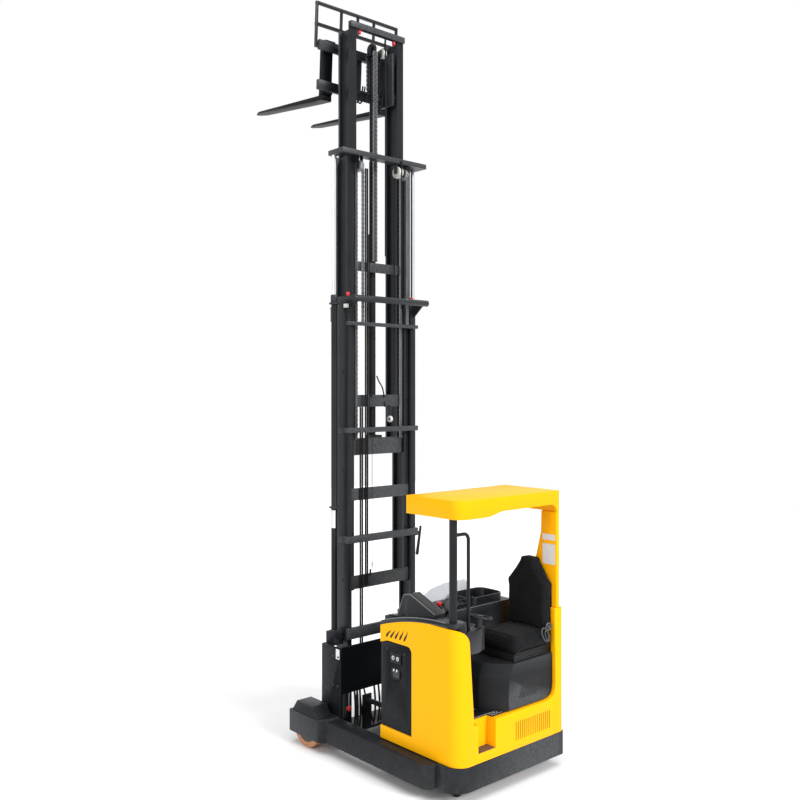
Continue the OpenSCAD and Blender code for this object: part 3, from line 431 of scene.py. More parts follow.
# Wheels: a dark hub inside an orange band, told apart by distance from the axle
def wheelLook(name, hubX, hubZ, split):
    m = look(name, (0.50, 0.19, 0.045), (0.40, 0.145, 0.035), (0.35, 0.5), (peel, 120.0, 0.2, 0.0006), dusty=0.4)
    t = m.node_tree
    shader = t.nodes["Principled BSDF"]
    colour = shader.inputs["Base Color"].links[0].from_socket
    parts = t.nodes.new("ShaderNodeSeparateXYZ")
    t.links.new(place(t), parts.inputs[0])
    dx = maths(t, "SUBTRACT", parts.outputs["X"], hubX - midX)
    dz = maths(t, "SUBTRACT", parts.outputs["Z"], hubZ)
    far = maths(t, "SQRT", maths(t, "ADD", maths(t, "MULTIPLY", dx, dx), maths(t, "MULTIPLY", dz, dz)))
    t.links.new(mixed(t, ramp(t, far, split - 0.001, split + 0.001), (0.03, 0.032, 0.035), colour),
                shader.inputs["Base Color"])
    return m


# The clear sheet is tinted grey and lets most light through
clear = bpy.data.materials.new("greySheet")
clear.use_nodes = True
t = clear.node_tree
shader = t.nodes["Principled BSDF"]
d = useGroup(t, drift, Colour=(0.62, 0.66, 0.71), Second_colour=(0.58, 0.62, 0.68), Scale=3.0,
             Gloss_low=0.04, Gloss_high=0.08)
t.links.new(d.outputs["Colour"], shader.inputs["Base Color"])
t.links.new(d.outputs["Roughness"], shader.inputs["Roughness"])
shader.inputs["Alpha"].default_value = 0.62
shader.inputs["IOR"].default_value = 1.49
print("materials made")


def sideTop(x):
    return 1.216 - 0.110 * ((x - 0.150) / 0.676) ** 2


def cut(o, tool, how="DIFFERENCE"):
    modify(o, "BOOLEAN", operation=how, object=tool, solver="EXACT")
    bpy.data.objects.remove(tool)
    return o


def cornerPlan(side, r, reach):  # the right rear corner in plan, from the side round to the rear face
    pts = [(r - r * math.sin(math.radians(a)), r - side - r * math.cos(math.radians(a))) for a in range(0, 91, 15)]
    return pts + [(0, reach - side), (reach, reach - side), (reach, -side)]


# Rigid nodes: the same shapes with their edges rounded as on folded and welded plate
def dress(node, body, skin, width, steps=2, angle=30):
    src = nodes[node]
    o = src.copy()
    o.data = src.data.copy()
    o.parent = None
    for key in list(o.keys()):
        del o[key]
    bpy.context.collection.objects.link(o)
    o.name = node + "_skin"
    pick(o)
    bpy.ops.object.mode_set(mode="EDIT")
    bpy.ops.mesh.select_all(action="SELECT")
    bpy.ops.mesh.customdata_custom_splitnormals_clear()
    bpy.ops.mesh.remove_doubles(threshold=0.00003)
    bpy.ops.mesh.dissolve_limited(angle_limit=math.radians(0.5))
    bpy.ops.object.mode_set(mode="OBJECT")
    if node == "base_frame":  # its right rear corner is tight, as above it
        tight = outline("tight", cornerPlan(0.580, 0.026, 0.135), "z", 0.0901, 0.2649)
        cut(o, tight, "UNION")
    roundOff(o, width, steps, angle)
    finish(o, body, skin, 32)
    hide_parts(node)
    return o


skins = [
    ("base_frame", "chassis", "chassis", "charcoal_paint", 0.004), ("leg_left", "chassis", "chassis", "charcoal_paint", 0.006),
    ("leg_right", "chassis", "chassis", "charcoal_paint", 0.006),
    ("body_rear", "chassis", "yellow", "yellow_paint", 0.003), ("guard_roof", "chassis", "yellow", "yellow_paint", 0.014),
    # front_wall takes the near-black plate look, not the base's charcoal: painted shade on it
    ("front_wall", "chassis", "plate", "charcoal_paint", 0.004),
    ("dash_cowl", "chassis", "dash", "dark_plastic", 0.010), ("front_console", "chassis", "dash", "dark_plastic", 0.008),
    ("battery", "chassis", "plate", "battery_case", 0.006),
    ("carriage_frame", "reach", "plate", "charcoal_paint", 0.003), ("outer_mast", "reach", "mast", "charcoal_paint", 0.003),
    ("mid_mast", "mid", "mast", "charcoal_paint", 0.003), ("inner_mast", "inner", "mast", "charcoal_paint", 0.003),
    ("fork_carriage", "carriage", "mast", "charcoal_paint", 0.003), ("fork_bars", "fork_frame", "mast", "charcoal_paint", 0.003),
    ("fork_left", "fork_frame", "plate", "black_steel", 0.003), ("fork_right", "fork_frame", "plate", "black_steel", 0.003),
    ("backrest", "fork_frame", "mast", "charcoal_paint", 0.002), ("castor_fork", "castor_turn", "plate", "charcoal_paint", 0.002),
    ("drive_unit", "drive_turn", "plate", "charcoal_paint", 0.003), ("lift_barrels", "reach", "mast", "charcoal_paint", 0.002),
    ("controls", "chassis", "dash", "dark_plastic", 0.002),
]
ventCut = {"x": 0.767, "z": 1.029, "step": 0.049, "count": 5}


def slotShape(i, grow=0.0):
    x, z = ventCut["x"] - ventCut["step"] * i, ventCut["z"] + 0.0014 * i
    pts = [(0, 0), (-0.008, 0.022), (-0.036, 0.046 + 0.003 * i), (-0.069 + 0.003 * i, 0.063 + 0.007 * i),
           (-0.041, 0.031 + 0.002 * i), (-0.019, 0.001)]
    return [(x + a, z + b) for a, b in pts]


for node, body, skin, slot, width in skins:
    dress(node, body, paint[skin], width)
print("edges rounded on", len(skins), "nodes")

# Right side and pillar: the rear corner is tight, and the pillar rises straight from inside the wall
rightSet = {"corner": 0.022, "side": 0.561, "wall": 0.045, "length": 0.826, "low": 0.265,
            "pillarOut": 0.522, "pillarIn": 0.484}


side, wall, turn = rightSet["side"], rightSet["wall"], rightSet["corner"]
plan = cornerPlan(side, turn, wall)[:7] + [(0, -0.4503), (wall, -0.4503), (wall, wall - side),
                                           (rightSet["length"], wall - side), (rightSet["length"], -side)]
tops = [(x, sideTop(x)) for x in [-0.01] + [rightSet["length"] * i / 16 for i in range(17)] + [0.85]]
rightBody = outline("rightBody", plan, "z", rightSet["low"], 1.230)
cut(rightBody, outline("above", [(-0.01, 1.4)] + tops + [(0.85, 1.4)], "y", -0.7, -0.4))
lip = [(-0.30, 0.561), (-0.450, 0.561), (-0.462, 0.578), (-0.471, 0.605), (-0.4755, 0.640), (-0.476, 0.680), (-0.4665, 1.25), (-0.30, 1.25)]
cut(rightBody, outline("opening", lip, "x", -0.05, 0.10))
roundOff(rightBody, 0.004, 2)
finish(rightBody, "chassis", paint["yellow"])
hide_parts("body_right")
rise = [(0.0, sideTop(0) + 0.001), (0.0, 1.9375), (0.150, 1.9375), (0.153, 1.780), (0.200, 1.590), (0.262, 1.440),
        (0.345, sideTop(0.345) + 0.001)] + [(x, sideTop(x) + 0.001) for x in (0.25, 0.15, 0.075)]
pillar = outline("guardPillar", rise, "y", -rightSet["pillarOut"], -rightSet["pillarIn"], 0.007)
finish(pillar, "chassis", paint["yellow"])
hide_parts("rear_pillar")
print("right side made")

# Left side: a wall round the rear corner, its wrap cut to a lean, a recess for the panel and curved slots
leftSet = {"corner": 0.111, "wrap": [(0.412, 0.20), (0.412, 0.570), (0.452, 1.096)], "roundTop": (0.567, 1.096, 0.115),
           "panel": {"rear": 0.480, "low": 0.360, "high": 1.005, "round": 0.045, "deep": 0.022}}
r = leftSet["corner"]
arcs = [math.radians(a) for a in range(0, 91, 6)]
plan = [(0, 0.40)] + [(r - r * math.cos(a), side - r + r * math.sin(a)) for a in arcs] + [(0.826, side), (0.826, side - wall)]
plan += [(r - (r - wall) * math.cos(a), side - r + (r - wall) * math.sin(a)) for a in reversed(arcs)] + [(wall, 0.40)]
leftBody = outline("leftBody", plan, "z", 0.265, 1.230)
cut(leftBody, outline("above", [(-0.01, 1.4)] + tops + [(0.85, 1.4)], "y", 0.35, 0.7))
cy, cz, cr = leftSet["roundTop"]
away = [(0.30, 0.20)] + leftSet["wrap"] + [(cy - cr * math.cos(a), cz + cr * math.sin(a)) for a in arcs[1:]] + [(cy, 1.4), (0.30, 1.4)]
cut(leftBody, outline("away", away, "x", -0.05, 0.90))


def panelShape(inset):
    f = leftSet["panel"]
    x, z, r = f["rear"] + f["round"], f["high"] - f["round"], f["round"]
    top = [(x - (r - inset) * math.sin(a), z + (r - inset) * math.cos(a)) for a in arcs[::3]]
    front = [(0.827 - inset, f["low"] + inset), (0.827 - inset, f["high"] - 0.025 - inset), (0.746, f["high"] - inset)]
    return front + top + [(f["rear"] + inset, f["low"] + inset)]


cut(leftBody, outline("recess", panelShape(0), "y", side - leftSet["panel"]["deep"], 0.57))
for i in range(ventCut["count"]):
    cut(leftBody, outline("tool", slotShape(i), "y", 0.536, 0.570))
roundOff(leftBody, 0.005, 3)
finish(leftBody, "chassis", paint["yellow"])
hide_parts("body_left")
servicePanel = outline("servicePanel", panelShape(0.004), "y", side - 0.022, side - 0.006)
cut(servicePanel, block("well", (0.583, 0.549, 0.851), (0.716, 0.57, 0.924), 0.007, 3))
cut(servicePanel, block("well", (0.604, 0.549, 0.737), (0.716, 0.57, 0.806), 0.012, 3))
roundOff(servicePanel, 0.002)
finish(servicePanel, "chassis", paint["plate"])
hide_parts("access_panel")
print("left side made")

# Seat pedestal: flat facets with crisp creases, its shoulder drawn in, its low corner round as the rear opening
pedestalSet = {"plan": [(0.030, -0.4715), (0.030, 0.018), (0.085, 0.083), (0.190, 0.166), (0.320, 0.209), (0.455, 0.216),
                        (0.455, -0.4715)], "low": 0.5422, "shoulder": 0.775, "high": 0.8698, "draw": 0.055}
pedestal = outline("pedestalShell", pedestalSet["plan"], "z", pedestalSet["low"], pedestalSet["shoulder"])
pick(pedestal)
bpy.ops.object.mode_set(mode="EDIT")
bpy.ops.mesh.select_all(action="DESELECT")
bpy.ops.object.mode_set(mode="OBJECT")
for f in pedestal.data.polygons:
    f.select = f.normal.z > 0.9
bpy.ops.object.mode_set(mode="EDIT")
bpy.ops.mesh.extrude_region_move(TRANSFORM_OT_translate={"value": (0, 0, pedestalSet["high"] - pedestalSet["shoulder"])})
bpy.ops.object.mode_set(mode="OBJECT")
for v in pedestal.data.vertices:
    if v.co.z > pedestalSet["high"] - 0.01 and v.co.y > -0.1:
        v.co.y -= pedestalSet["draw"]
        v.co.x += pedestalSet["draw"] * 0.25 if v.co.x + midX < 0.3 and v.co.x + midX > 0.05 else 0.0
low = [(0.30, 0.9), (0.30, 0.50), (-0.37, 0.50), (-0.37, 0.5425), (-0.42, 0.549), (-0.447, 0.567), (-0.4585, 0.583), (-0.4665, 0.609),
       (-0.4708, 0.643), (-0.4712, 0.68), (-0.4712, 0.9)]
cut(pedestal, outline("room", low, "x", 0.0, 0.5), "INTERSECT")
roundOff(pedestal, 0.005, 2, 12)
finish(pedestal, "chassis", paint["pedestal"], 14)
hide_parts("seat_pedestal")
print("pedestal made")

# Nodes that stay as they are take a finer material
plain = {"floor_plate": "plate", "guard_post": "tube", "reach_barrel": "tube", "reach_rod": "tube",
         "lift_rods": "chrome", "lift_chains": "chain", "free_lift_barrel": "tube", "crosshead": "tube",
         "castor_wheel": "hose", "steering_wheel": "dash"}
for node, skin in plain.items():
    nodes[node].data.materials.clear()
    nodes[node].data.materials.append(paint[skin])
for node, x, z, split in [("load_wheel_left", 1.595, 0.17, 0.126), ("load_wheel_right", 1.595, 0.17, 0.126),
                          ("drive_wheel", 0.300, 0.17, 0.126)]:
    nodes[node].data.materials.clear()
    nodes[node].data.materials.append(wheelLook(node + "Look", x, z, split))
nodes["screen"].data.materials.clear()
nodes["screen"].data.materials.append(clear)
print("plain nodes painted")


# Seat: pads blown up by cloth pressure, then sewn
seatSet = {"voxel": 0.0055, "pressure": 3.5, "cap": 0.014, "frames": 20, "shrink": 0.975, "narrow": 0.90, "shift": -0.020,
           "lift": 0.014}


def blownPad(node, name):
    src = nodes[node]
    o = src.copy()
    o.data = src.data.copy()
    o.parent = None
    for key in list(o.keys()):
        del o[key]
    bpy.context.collection.objects.link(o)
    o.name = name
    low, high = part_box(node)
    middle = (low + high) / 2
    pick(o)
    bpy.ops.object.mode_set(mode="EDIT")
    bpy.ops.mesh.select_all(action="SELECT")
    bpy.ops.mesh.customdata_custom_splitnormals_clear()
    bpy.ops.mesh.remove_doubles(threshold=0.00003)
    bpy.ops.object.mode_set(mode="OBJECT")
    for v in o.data.vertices:
        v.co = middle + (v.co - middle) * seatSet["shrink"]
        v.co.x = middle.x + seatSet["shift"] + (v.co.x - middle.x) * seatSet["narrow"]
        if node == "seat_cushion" or v.co.z < middle.z:
            v.co.z += seatSet["lift"]
    roundOff(o, 0.022, 3)
    modify(o, "REMESH", mode="VOXEL", voxel_size=seatSet["voxel"])
    before = [v.co.copy() for v in o.data.vertices]
    pick(o)
    m = o.modifiers.new("blow", "CLOTH")
    m.settings.use_pressure = True
    m.settings.uniform_pressure_force = seatSet["pressure"]
    m.settings.effector_weights.gravity = 0
    m.settings.quality = 4
    for f in range(1, seatSet["frames"] + 1):
        bpy.context.scene.frame_set(f)
    bpy.ops.object.modifier_apply(modifier=m.name)
    bpy.context.scene.frame_set(1)
    for v, was in zip(o.data.vertices, before):
        move = v.co - was
        if move.length > seatSet["cap"]:
            v.co = was + move * (seatSet["cap"] / move.length)
        for k in range(2):  # stays in the space of its solid
            v.co[k] = min(max(v.co[k], low[k]), high[k])
    return o


def sewn(o, depth, width, line):  # a groove where line(point) is near zero
    for v in o.data.vertices:
        d = line(v.co)
        if d is not None and abs(d) < width:
            v.co -= v.normal * depth * (0.5 + 0.5 * math.cos(math.pi * d / width))


cushion = blownPad("seat_cushion", "seatCushion")
back = blownPad("seat_back", "seatBack")
cushionLow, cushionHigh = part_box("seat_cushion")
backLow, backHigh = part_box("seat_back")
cushionMid = (cushionLow + cushionHigh) / 2 + Vector((seatSet["shift"], 0, seatSet["lift"]))
cushionHigh.z += seatSet["lift"]
backMid = (backLow + backHigh) / 2 + Vector((seatSet["shift"], 0, 0))


def cushionSeams(p):
    if p.z > cushionMid.z + 0.02:  # two long seams and a cross seam on the top
        side = min(abs(abs(p.x - cushionMid.x) - 0.113), abs(p.y - (cushionLow.y + 0.13)))
        return side
    return abs(p.z - (cushionHigh.z - 0.034)) if p.z > cushionHigh.z - 0.045 else None


def backSeams(p):
    if p.y < backMid.y + 0.0:
        return None
    bow = 0.010 * math.cos((p.x - backMid.x) * 14)
    rows = [1.476 + bow, 1.424 + bow, 1.230]
    close = min(abs(p.z - r) for r in rows) if abs(p.x - backMid.x) < 0.105 else 1
    return min(close, abs(abs(p.x - backMid.x) - 0.108) if p.z < 1.45 else 1)


sewn(cushion, 0.005, 0.008, cushionSeams)
sewn(back, 0.005, 0.008, backSeams)
for pad, node in ((cushion, "seat_cushion"), (back, "seat_back")):
    modify(pad, "SUBSURF", levels=1, render_levels=1)
    finish(pad, "chassis", cloth, 60)
    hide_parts(node)
print("seat pads sewn")

# Vinyl shell behind the backrest and under the cushion
shellSet = {"tilt": math.radians(2)}
backShell = outline("backShell", [(0.065, 1.06), (0.385, 1.06), (0.41, 1.10), (0.405, 1.36), (0.365, 1.43),
                                  (0.275, 1.55), (0.175, 1.55), (0.085, 1.43), (0.045, 1.36), (0.04, 1.10)],
                    "y", -0.485, -0.474, 0.004)
finish(backShell, "chassis", paint["vinyl"])
pan = block("cushionPan", (0.035, -0.455, 0.928), (0.415, -0.065, 0.944), 0.006)
finish(pan, "chassis", paint["vinyl"])

# Bellows: pleats stacked one above another
bellowsSet = {"pleats": 4, "low": 0.871, "high": 0.929}
pleats = []
step = (bellowsSet["high"] - bellowsSet["low"]) / bellowsSet["pleats"]
for i in range(bellowsSet["pleats"]):
    z = bellowsSet["low"] + i * step
    pleats.append(block("pleat", (0.055, -0.468, z), (0.405, -0.070, z + step * 0.86), 0.0052, 3))
bellows = merge("bellowsPleats", pleats)
finish(bellows, "chassis", paint["bellows"])
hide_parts("seat_bellows")

# Recline levers: two bent loops beside the cushion
leverSet = {"r": 0.0060}
def loopOf(cy, cz, a, b, tilt, x):
    pts = []
    for i in range(17):
        w = 2 * math.pi * i / 16
        y, z = a * math.cos(w), b * math.sin(w)
        pts.append((x, cy + y * math.cos(tilt) - z * math.sin(tilt), cz + y * math.sin(tilt) + z * math.cos(tilt)))
    return pts
levers = merge("seatLevers", [
    tube("loop", loopOf(-0.372, 1.028, 0.030, 0.058, -0.55, 0.0155), leverSet["r"]),
    tube("loop", loopOf(-0.392, 1.016, 0.018, 0.046, -0.50, 0.0115), leverSet["r"] * 0.8),
    ring("collar", (0.016, -0.410, 1.082), (1, 0, 0), 0.026, 0.0065, 40, 10),
    rod("hub", (0.0095, -0.410, 1.082), (0.0225, -0.410, 1.082), 0.013, 20, 0.002)])
finish(levers, "chassis", paint["lever"])
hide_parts("seat_lever")
print("seat done")

# Slanted vent in the pedestal's rear face: thin dark slabs on the face, painted shade for its openings
ventSet = {"slots": 12, "y": (-0.100, -0.285), "z": (0.605, 0.735), "lean": 0.045}
slots = []
for i in range(ventSet["slots"]):
    y = ventSet["y"][0] + (ventSet["y"][1] - ventSet["y"][0]) * i / (ventSet["slots"] - 1)
    slots.append(outline("slot", [(y, ventSet["z"][0]), (y + 0.007, ventSet["z"][0]),
                                  (y + 0.007 - ventSet["lean"], ventSet["z"][1]), (y - ventSet["lean"], ventSet["z"][1])],
                         "x", 0.0285, 0.0315))
finish(merge("pedestalVentShade", slots), "chassis", paint["dark"])

# Painted shade: dark sheets at the floors of the rear grille's slots and of the side's slanted ones
louvreSet = {"count": 17, "first": -0.032, "span": 0.376}
strips = []
for i in range(louvreSet["count"]):
    y = louvreSet["first"] - i * louvreSet["span"] / (louvreSet["count"] - 1)
    strips.append(block("strip", (0.004, y + 0.0002, 0.3252), (0.0138, y + 0.0088, 0.4598), 0.0008, 1))
finish(merge("grilleShade", strips), "chassis", paint["shade"])
strips = []
for i in range(ventCut["count"]):
    strips.append(outline("strip", slotShape(i), "y", 0.5362, 0.5575))
finish(merge("sideVentShade", strips), "chassis", paint["dark"])
print("vents done")

# Service panel: bolts, key plate with two switches, and the plug with its grip
panelSet = {"face": 0.555, "bolts": [(0.750, 0.947), (0.554, 0.941)]}
bolts = [rod("bolt", (x, 0.5548, z), (x, 0.5605, z), 0.009, 20, 0.002) for x, z in panelSet["bolts"]]
bolts += [rod("socket", (x, 0.5604, z), (x, 0.5612, z), 0.004, 6) for x, z in panelSet["bolts"]]
finish(merge("panelBolts", bolts), "chassis", paint["blackBolt"])
keyPlate = [block("frame", (0.600, 0.5545, 0.852), (0.715, 0.5575, 0.926), 0.0015),
            block("frame", (0.606, 0.5570, 0.858), (0.709, 0.5585, 0.920), 0.001)]
finish(merge("keyPlate", keyPlate), "chassis", paint["plate"])
switches = []
for x in (0.634, 0.683):
    switches.append(ring("collar", (x, 0.5590, 0.889), (0, 1, 0), 0.013, 0.0022, 28, 8))
    switches.append(block("tab", (x - 0.002, 0.5585, 0.877), (x + 0.002, 0.5630, 0.901), 0.001))
finish(merge("keySwitches", switches), "chassis", paint["label"])
grip = [tube("grip", [(0.618, 0.5575, 0.800), (0.612, 0.5585, 0.775), (0.622, 0.5590, 0.748), (0.650, 0.5590, 0.740),
                      (0.685, 0.5590, 0.742), (0.702, 0.5585, 0.765), (0.698, 0.5575, 0.795)], 0.0035),
        block("well", (0.615, 0.5545, 0.745), (0.700, 0.5560, 0.805), 0.0012)]
finish(merge("plugGrip", grip), "chassis", paint["dash"])
pins = [outline("clip", [(x, 0.792), (x + 0.010, 0.790), (x + 0.004, 0.812), (x - 0.006, 0.808)], "y", 0.556, 0.5625, 0.001)
        for x in (0.640, 0.672)]
finish(merge("plugClips", pins), "chassis", paint["label"])
print("service panel done")

# Checker plate on the operator's floor: its colour is pale as painted light against the shade it lies in, and its bar
# edges carry a painted highlight
treadSet = {"pitch": 0.024, "x": (0.06, 0.46), "y": (0.02, 0.40), "bar": (0.0165, 0.0046, 0.0016)}
bars = []
seed = None
i = 0
x = treadSet["x"][0]
while x < treadSet["x"][1]:
    y = treadSet["y"][0]
    j = 0
    while y < treadSet["y"][1]:
        turn = math.radians(45 if (i + j) % 2 else -45)
        inside = (x > 0.10 or 0.02 < y < 0.36) and not (y > 0.36 and 0.11 < x < 0.34)
        if inside and not (x < 0.10 and 0.175 < y < 0.385):
            if seed is None:
                seed = block("bar", (midX - 0.5, -0.5, -0.5), (midX + 0.5, 0.5, 0.5))
                seed.scale = treadSet["bar"]
                settle(seed)
                roundOff(seed, 0.0012, 1)
                first = seed
            c = first.copy()
            c.data = first.data.copy()
            bpy.context.collection.objects.link(c)
            c.matrix_world = Matrix.Translation(at(x, y, 0.5405)) @ Matrix.Rotation(turn, 4, "Z")
            bars.append(c)
        y += treadSet["pitch"]
        j += 1
    x += treadSet["pitch"]
    i += 1
bpy.data.objects.remove(seed)
sheetPlate = block("sheet", (0.10, -0.02, 0.5398), (0.465, 0.375, 0.5408), 0.0003, 1)
finish(merge("checkerPlate", [sheetPlate] + bars), "chassis", paint["treadPlate"])
mat = block("mat", (0.004, 0.193, 0.3302), (0.0875, 0.3655, 0.334), 0.001)
finish(merge("stepMat", [mat]), "chassis", paint["mat"])
print("floor done")

# Steering wheel's rim, spokes, hub cap and knob
wheelSet = {"at": (0.120, 0.240, 1.170), "tilt": math.radians(12)}
def onColumn(x, y, z):  # a place given along the tilted column
    b = Vector(wheelSet["at"])
    c, s = math.cos(wheelSet["tilt"]), math.sin(wheelSet["tilt"])
    return (b.x + x, b.y + y * c - z * s, b.z + y * s + z * c)
def onRim(r, degrees, up):
    return onColumn(r * math.cos(math.radians(degrees)), r * math.sin(math.radians(degrees)), up)


axis = Vector(onColumn(0, 0, 1)) - Vector(onColumn(0, 0, 0))
cap = [ring("rim", onColumn(0, 0, 0.072), axis, 0.086, 0.0088, 64, 14),
       rod("hub", onColumn(0, 0, 0.0065), onColumn(0, 0, 0.078), 0.024, 32, 0.003, 0.019),
       rod("cap", onColumn(0, 0, 0.078), onColumn(0, 0, 0.083), 0.026, 32, 0.002)]
for spoke in (75, 195, 315):
    cap.append(tube("spoke", [onRim(0.018, spoke, 0.070), onRim(0.050, spoke, 0.064), onRim(0.084, spoke, 0.071)], 0.0065))
cap += [rod("stalk", onRim(0.086, 45, 0.078), onRim(0.086, 45, 0.098), 0.006, 20),
        rod("knob", onRim(0.086, 45, 0.094), onRim(0.086, 45, 0.1175), 0.0175, 28, 0.007)]
wheel = merge("steeringTrim", cap)
finish(wheel, "steering", paint["dash"])
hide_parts("steering_wheel")

# Hood's front slope, and the round display behind the post
hoodSet = {"y": (0.4006, 0.4994), "display": (0.430, 0.215, 1.268)}
slope = outline("slope", [(0.812, 1.171), (0.700, 1.189), (0.633, 1.350), (0.620, 1.3535), (0.574, 1.3645), (0.616, 1.171)],
                "y", *hoodSet["y"], 0.003)
finish(merge("hoodSlope", [slope]), "chassis", paint["dash"])
c = Vector(hoodSet["display"])
away = Vector((-0.80, 0.52, 0.30)).normalized()
disc = [rod("dial", tuple(c - away * 0.012), tuple(c + away * 0.004), 0.052, 48, 0.004),
        ring("bezel", tuple(c + away * 0.004), away, 0.048, 0.0045, 48, 10),
        tube("stem", [tuple(c - away * 0.010), (0.450, 0.205, 1.240), (0.480, 0.205, 1.200), (0.480, 0.205, 1.168)], 0.012)]
finish(merge("roundDisplay", disc), "chassis", paint["dash"])
face = rod("face", tuple(c + away * 0.0035), tuple(c + away * 0.0055), 0.044, 48, 0.0006)
finish(merge("displayFace", [face]), "chassis", paint["lever"])

# Painted highlights: thin pale lines laid along the edges of the hood, along the dash's rim, and one across the truck
edgeSet = {"r": 0.0038}
peak = [(0.806, 1.176), (0.700, 1.191), (0.633, 1.3525), (0.620, 1.3555), (0.566, 1.3685), (0.302, 1.264)]
lines = [tube("line", [(x, y, z) for x, z in peak], edgeSet["r"], 2, False) for y in (0.402, 0.498)]
lines += [tube("line", [(x, 0.5515, sideTop(x) + 0.0315) for x in [0.14 + 0.045 * i for i in range(15)]], edgeSet["r"], 2),
          tube("line", [(x, 0.5530, sideTop(x) + 0.0020) for x in [0.12 + 0.05 * i for i in range(14)]], 0.0022, 2),
          tube("line", [(0.4715, y, 1.2005) for y in (-0.50, -0.30, 0.0, 0.195)], 0.0022, 2, False)]
finish(merge("paintedHighlightLines", lines), "chassis", paint["edge"])

# Lever console: the armrest pad, and the red stop knob
consoleSet = {"pad": ((0.520, -0.080, 1.200), (0.700, 0.080, 1.222))}
pad = block("armPad", *consoleSet["pad"], 0.008, 3)
finish(merge("consolePad", [pad]), "chassis", paint["vinyl"])
stop = [rod("head", (0.620, 0.150, 1.222), (0.620, 0.150, 1.2475), 0.0225, 36, 0.006)]
finish(merge("stopKnob", stop), "chassis", paint["red"])
print("controls done")


# Chains: side plates and pins, copied along each strand
chainSet = {"pitch": 0.019, "plate": 0.0145}


def chainLink(wide, width):
    parts = []
    h = chainSet["plate"] / 2
    half = width / 2
    rows = (-half, -half * 0.4, half * 0.25, half * 0.85) if wide else (-half * 0.7, -half * 0.08, half * 0.55)
    for y in rows:
        pts = []
        for i in range(8):
            w = math.radians(22.5 + 45 * i)
            pts.append((h * math.cos(w) * 0.92, math.copysign(chainSet["pitch"] / 2, math.sin(w)) * 0.62 + h * 0.75 * math.sin(w)))
        parts.append(outline("plate", [(midX + a, b) for a, b in pts], "y", y, y + half * 0.14))
    parts.append(rod("pin", (midX, -half - 0.0015, 0), (midX, half + 0.0015, 0), 0.0032, 8))
    return merge("link", parts)


def strand(name, x, y, low, high, width=0.025):
    count = int((high - low) / (2 * chainSet["pitch"]))
    a = chainLink(True, width)
    b = chainLink(False, width)
    b.location = (0, 0, chainSet["pitch"])
    settle(b)
    pair = merge(name, [a, b])
    modify(pair, "ARRAY", count=count, use_relative_offset=False, use_constant_offset=True,
           constant_offset_displace=(0, 0, 2 * chainSet["pitch"]))
    pair.location = at(x, y, low + chainSet["pitch"] / 2)
    return settle(pair)


chains = []
for s in (1, -1):
    runs = [strand("run", 1.420, s * 0.245, 3.42, 4.70), strand("run", 1.506, s * 0.245, 2.45, 4.70)]
    for i in range(1, 8):  # over the wheel
        a = math.pi * i / 8
        plate = block("plate", (1.463 - 0.008, s * 0.245 - 0.0125, -0.006), (1.463 + 0.008, s * 0.245 + 0.0125, 0.006), 0.002, 1)
        plate.matrix_world = Matrix.Translation((1.463 - midX + 0.043 * math.cos(a), 0, 4.70 + 0.043 * math.sin(a))) @ \
            Matrix.Rotation(math.pi / 2 - a, 4, "Y") @ Matrix.Translation((midX - 1.463, 0, 0))
        runs.append(settle(plate))
    wheel = [rod("disc", (1.463, s * 0.245 - 0.0155, 4.70), (1.463, s * 0.245 + 0.0155, 4.70), 0.037, 40, 0.002)]
    wheel += [ring("flange", (1.463, s * 0.245 + e * 0.0140, 4.70), (0, 1, 0), 0.0435, 0.0022, 40, 8) for e in (-1, 1)]
    wheel.append(rod("pin", (1.463, s * 0.245 - 0.020, 4.70), (1.463, s * 0.245 + 0.020, 4.70), 0.012, 24, 0.001))
    chains += runs + wheel
liftChains = merge("liftChains", chains)
finish(liftChains, "mid", paint["chain"], 30)
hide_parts("lift_chains")
runs = [strand("run", 1.557, 0, 3.95, 5.76, 0.046), strand("run", 1.643, 0, 5.42, 5.76, 0.046)]
finish(merge("freeLiftChain", runs), "head", paint["chain"], 30)
print("chains linked")


# Wheels on the mast: hose wheels in white nylon, with hub and bolt
def sheave(name, centre, r, wide, body):
    x, y, z = centre
    parts = [rod("rim", (x, y - wide / 2, z), (x, y + wide / 2, z), r, 48, 0.003),
             ring("lip", (x, y + wide / 2, z), (0, 1, 0), r - 0.004, 0.003), ring("lip", (x, y - wide / 2, z), (0, 1, 0), r - 0.004, 0.003)]
    o = finish(merge(name, parts), body, paint["white"])
    hub = [rod("hub", (x, y - wide / 2 - 0.006, z), (x, y + wide / 2 + 0.006, z), r * 0.32, 24, 0.002),
           rod("bolt", (x, y + wide / 2 + 0.005, z), (x, y + wide / 2 + 0.012, z), r * 0.2, 6)]
    finish(merge(name + "Hub", hub), body, paint["blackBolt"])
    return o


sheave("hoseWheelMid", (1.450, -0.165, 4.711), 0.049, 0.040, "mid")
sheave("hoseWheelTop", (1.560, -0.085, 5.733), 0.040, 0.030, "head")
sheave("hoseRollerLow", (1.472, -0.095, 2.614), 0.027, 0.018, "inner")
brackets = [block("hanger", (1.430, -0.195, 4.70), (1.470, -0.189, 4.782), 0.001), block("hanger", (1.430, -0.141, 4.70), (1.470, -0.135, 4.782), 0.001)]
finish(merge("hoseWheelHanger", brackets), "mid", paint["mast"])
arm = [block("arm", (1.466, -0.105, 2.60), (1.525, -0.101, 2.73), 0.001), block("foot", (1.505, -0.12, 2.715), (1.52, -0.07, 2.76), 0.001)]
finish(merge("hoseRollerArm", arm), "inner", paint["mast"])
headPlate = [block("cheek", (1.545, -0.064, 5.69), (1.60, -0.060, 5.76), 0.001), block("pin", (1.55, -0.10, 5.728), (1.57, -0.03, 5.738), 0.002)]
finish(merge("headCheek", headPlate), "head", paint["mast"])
print("hose wheels done")

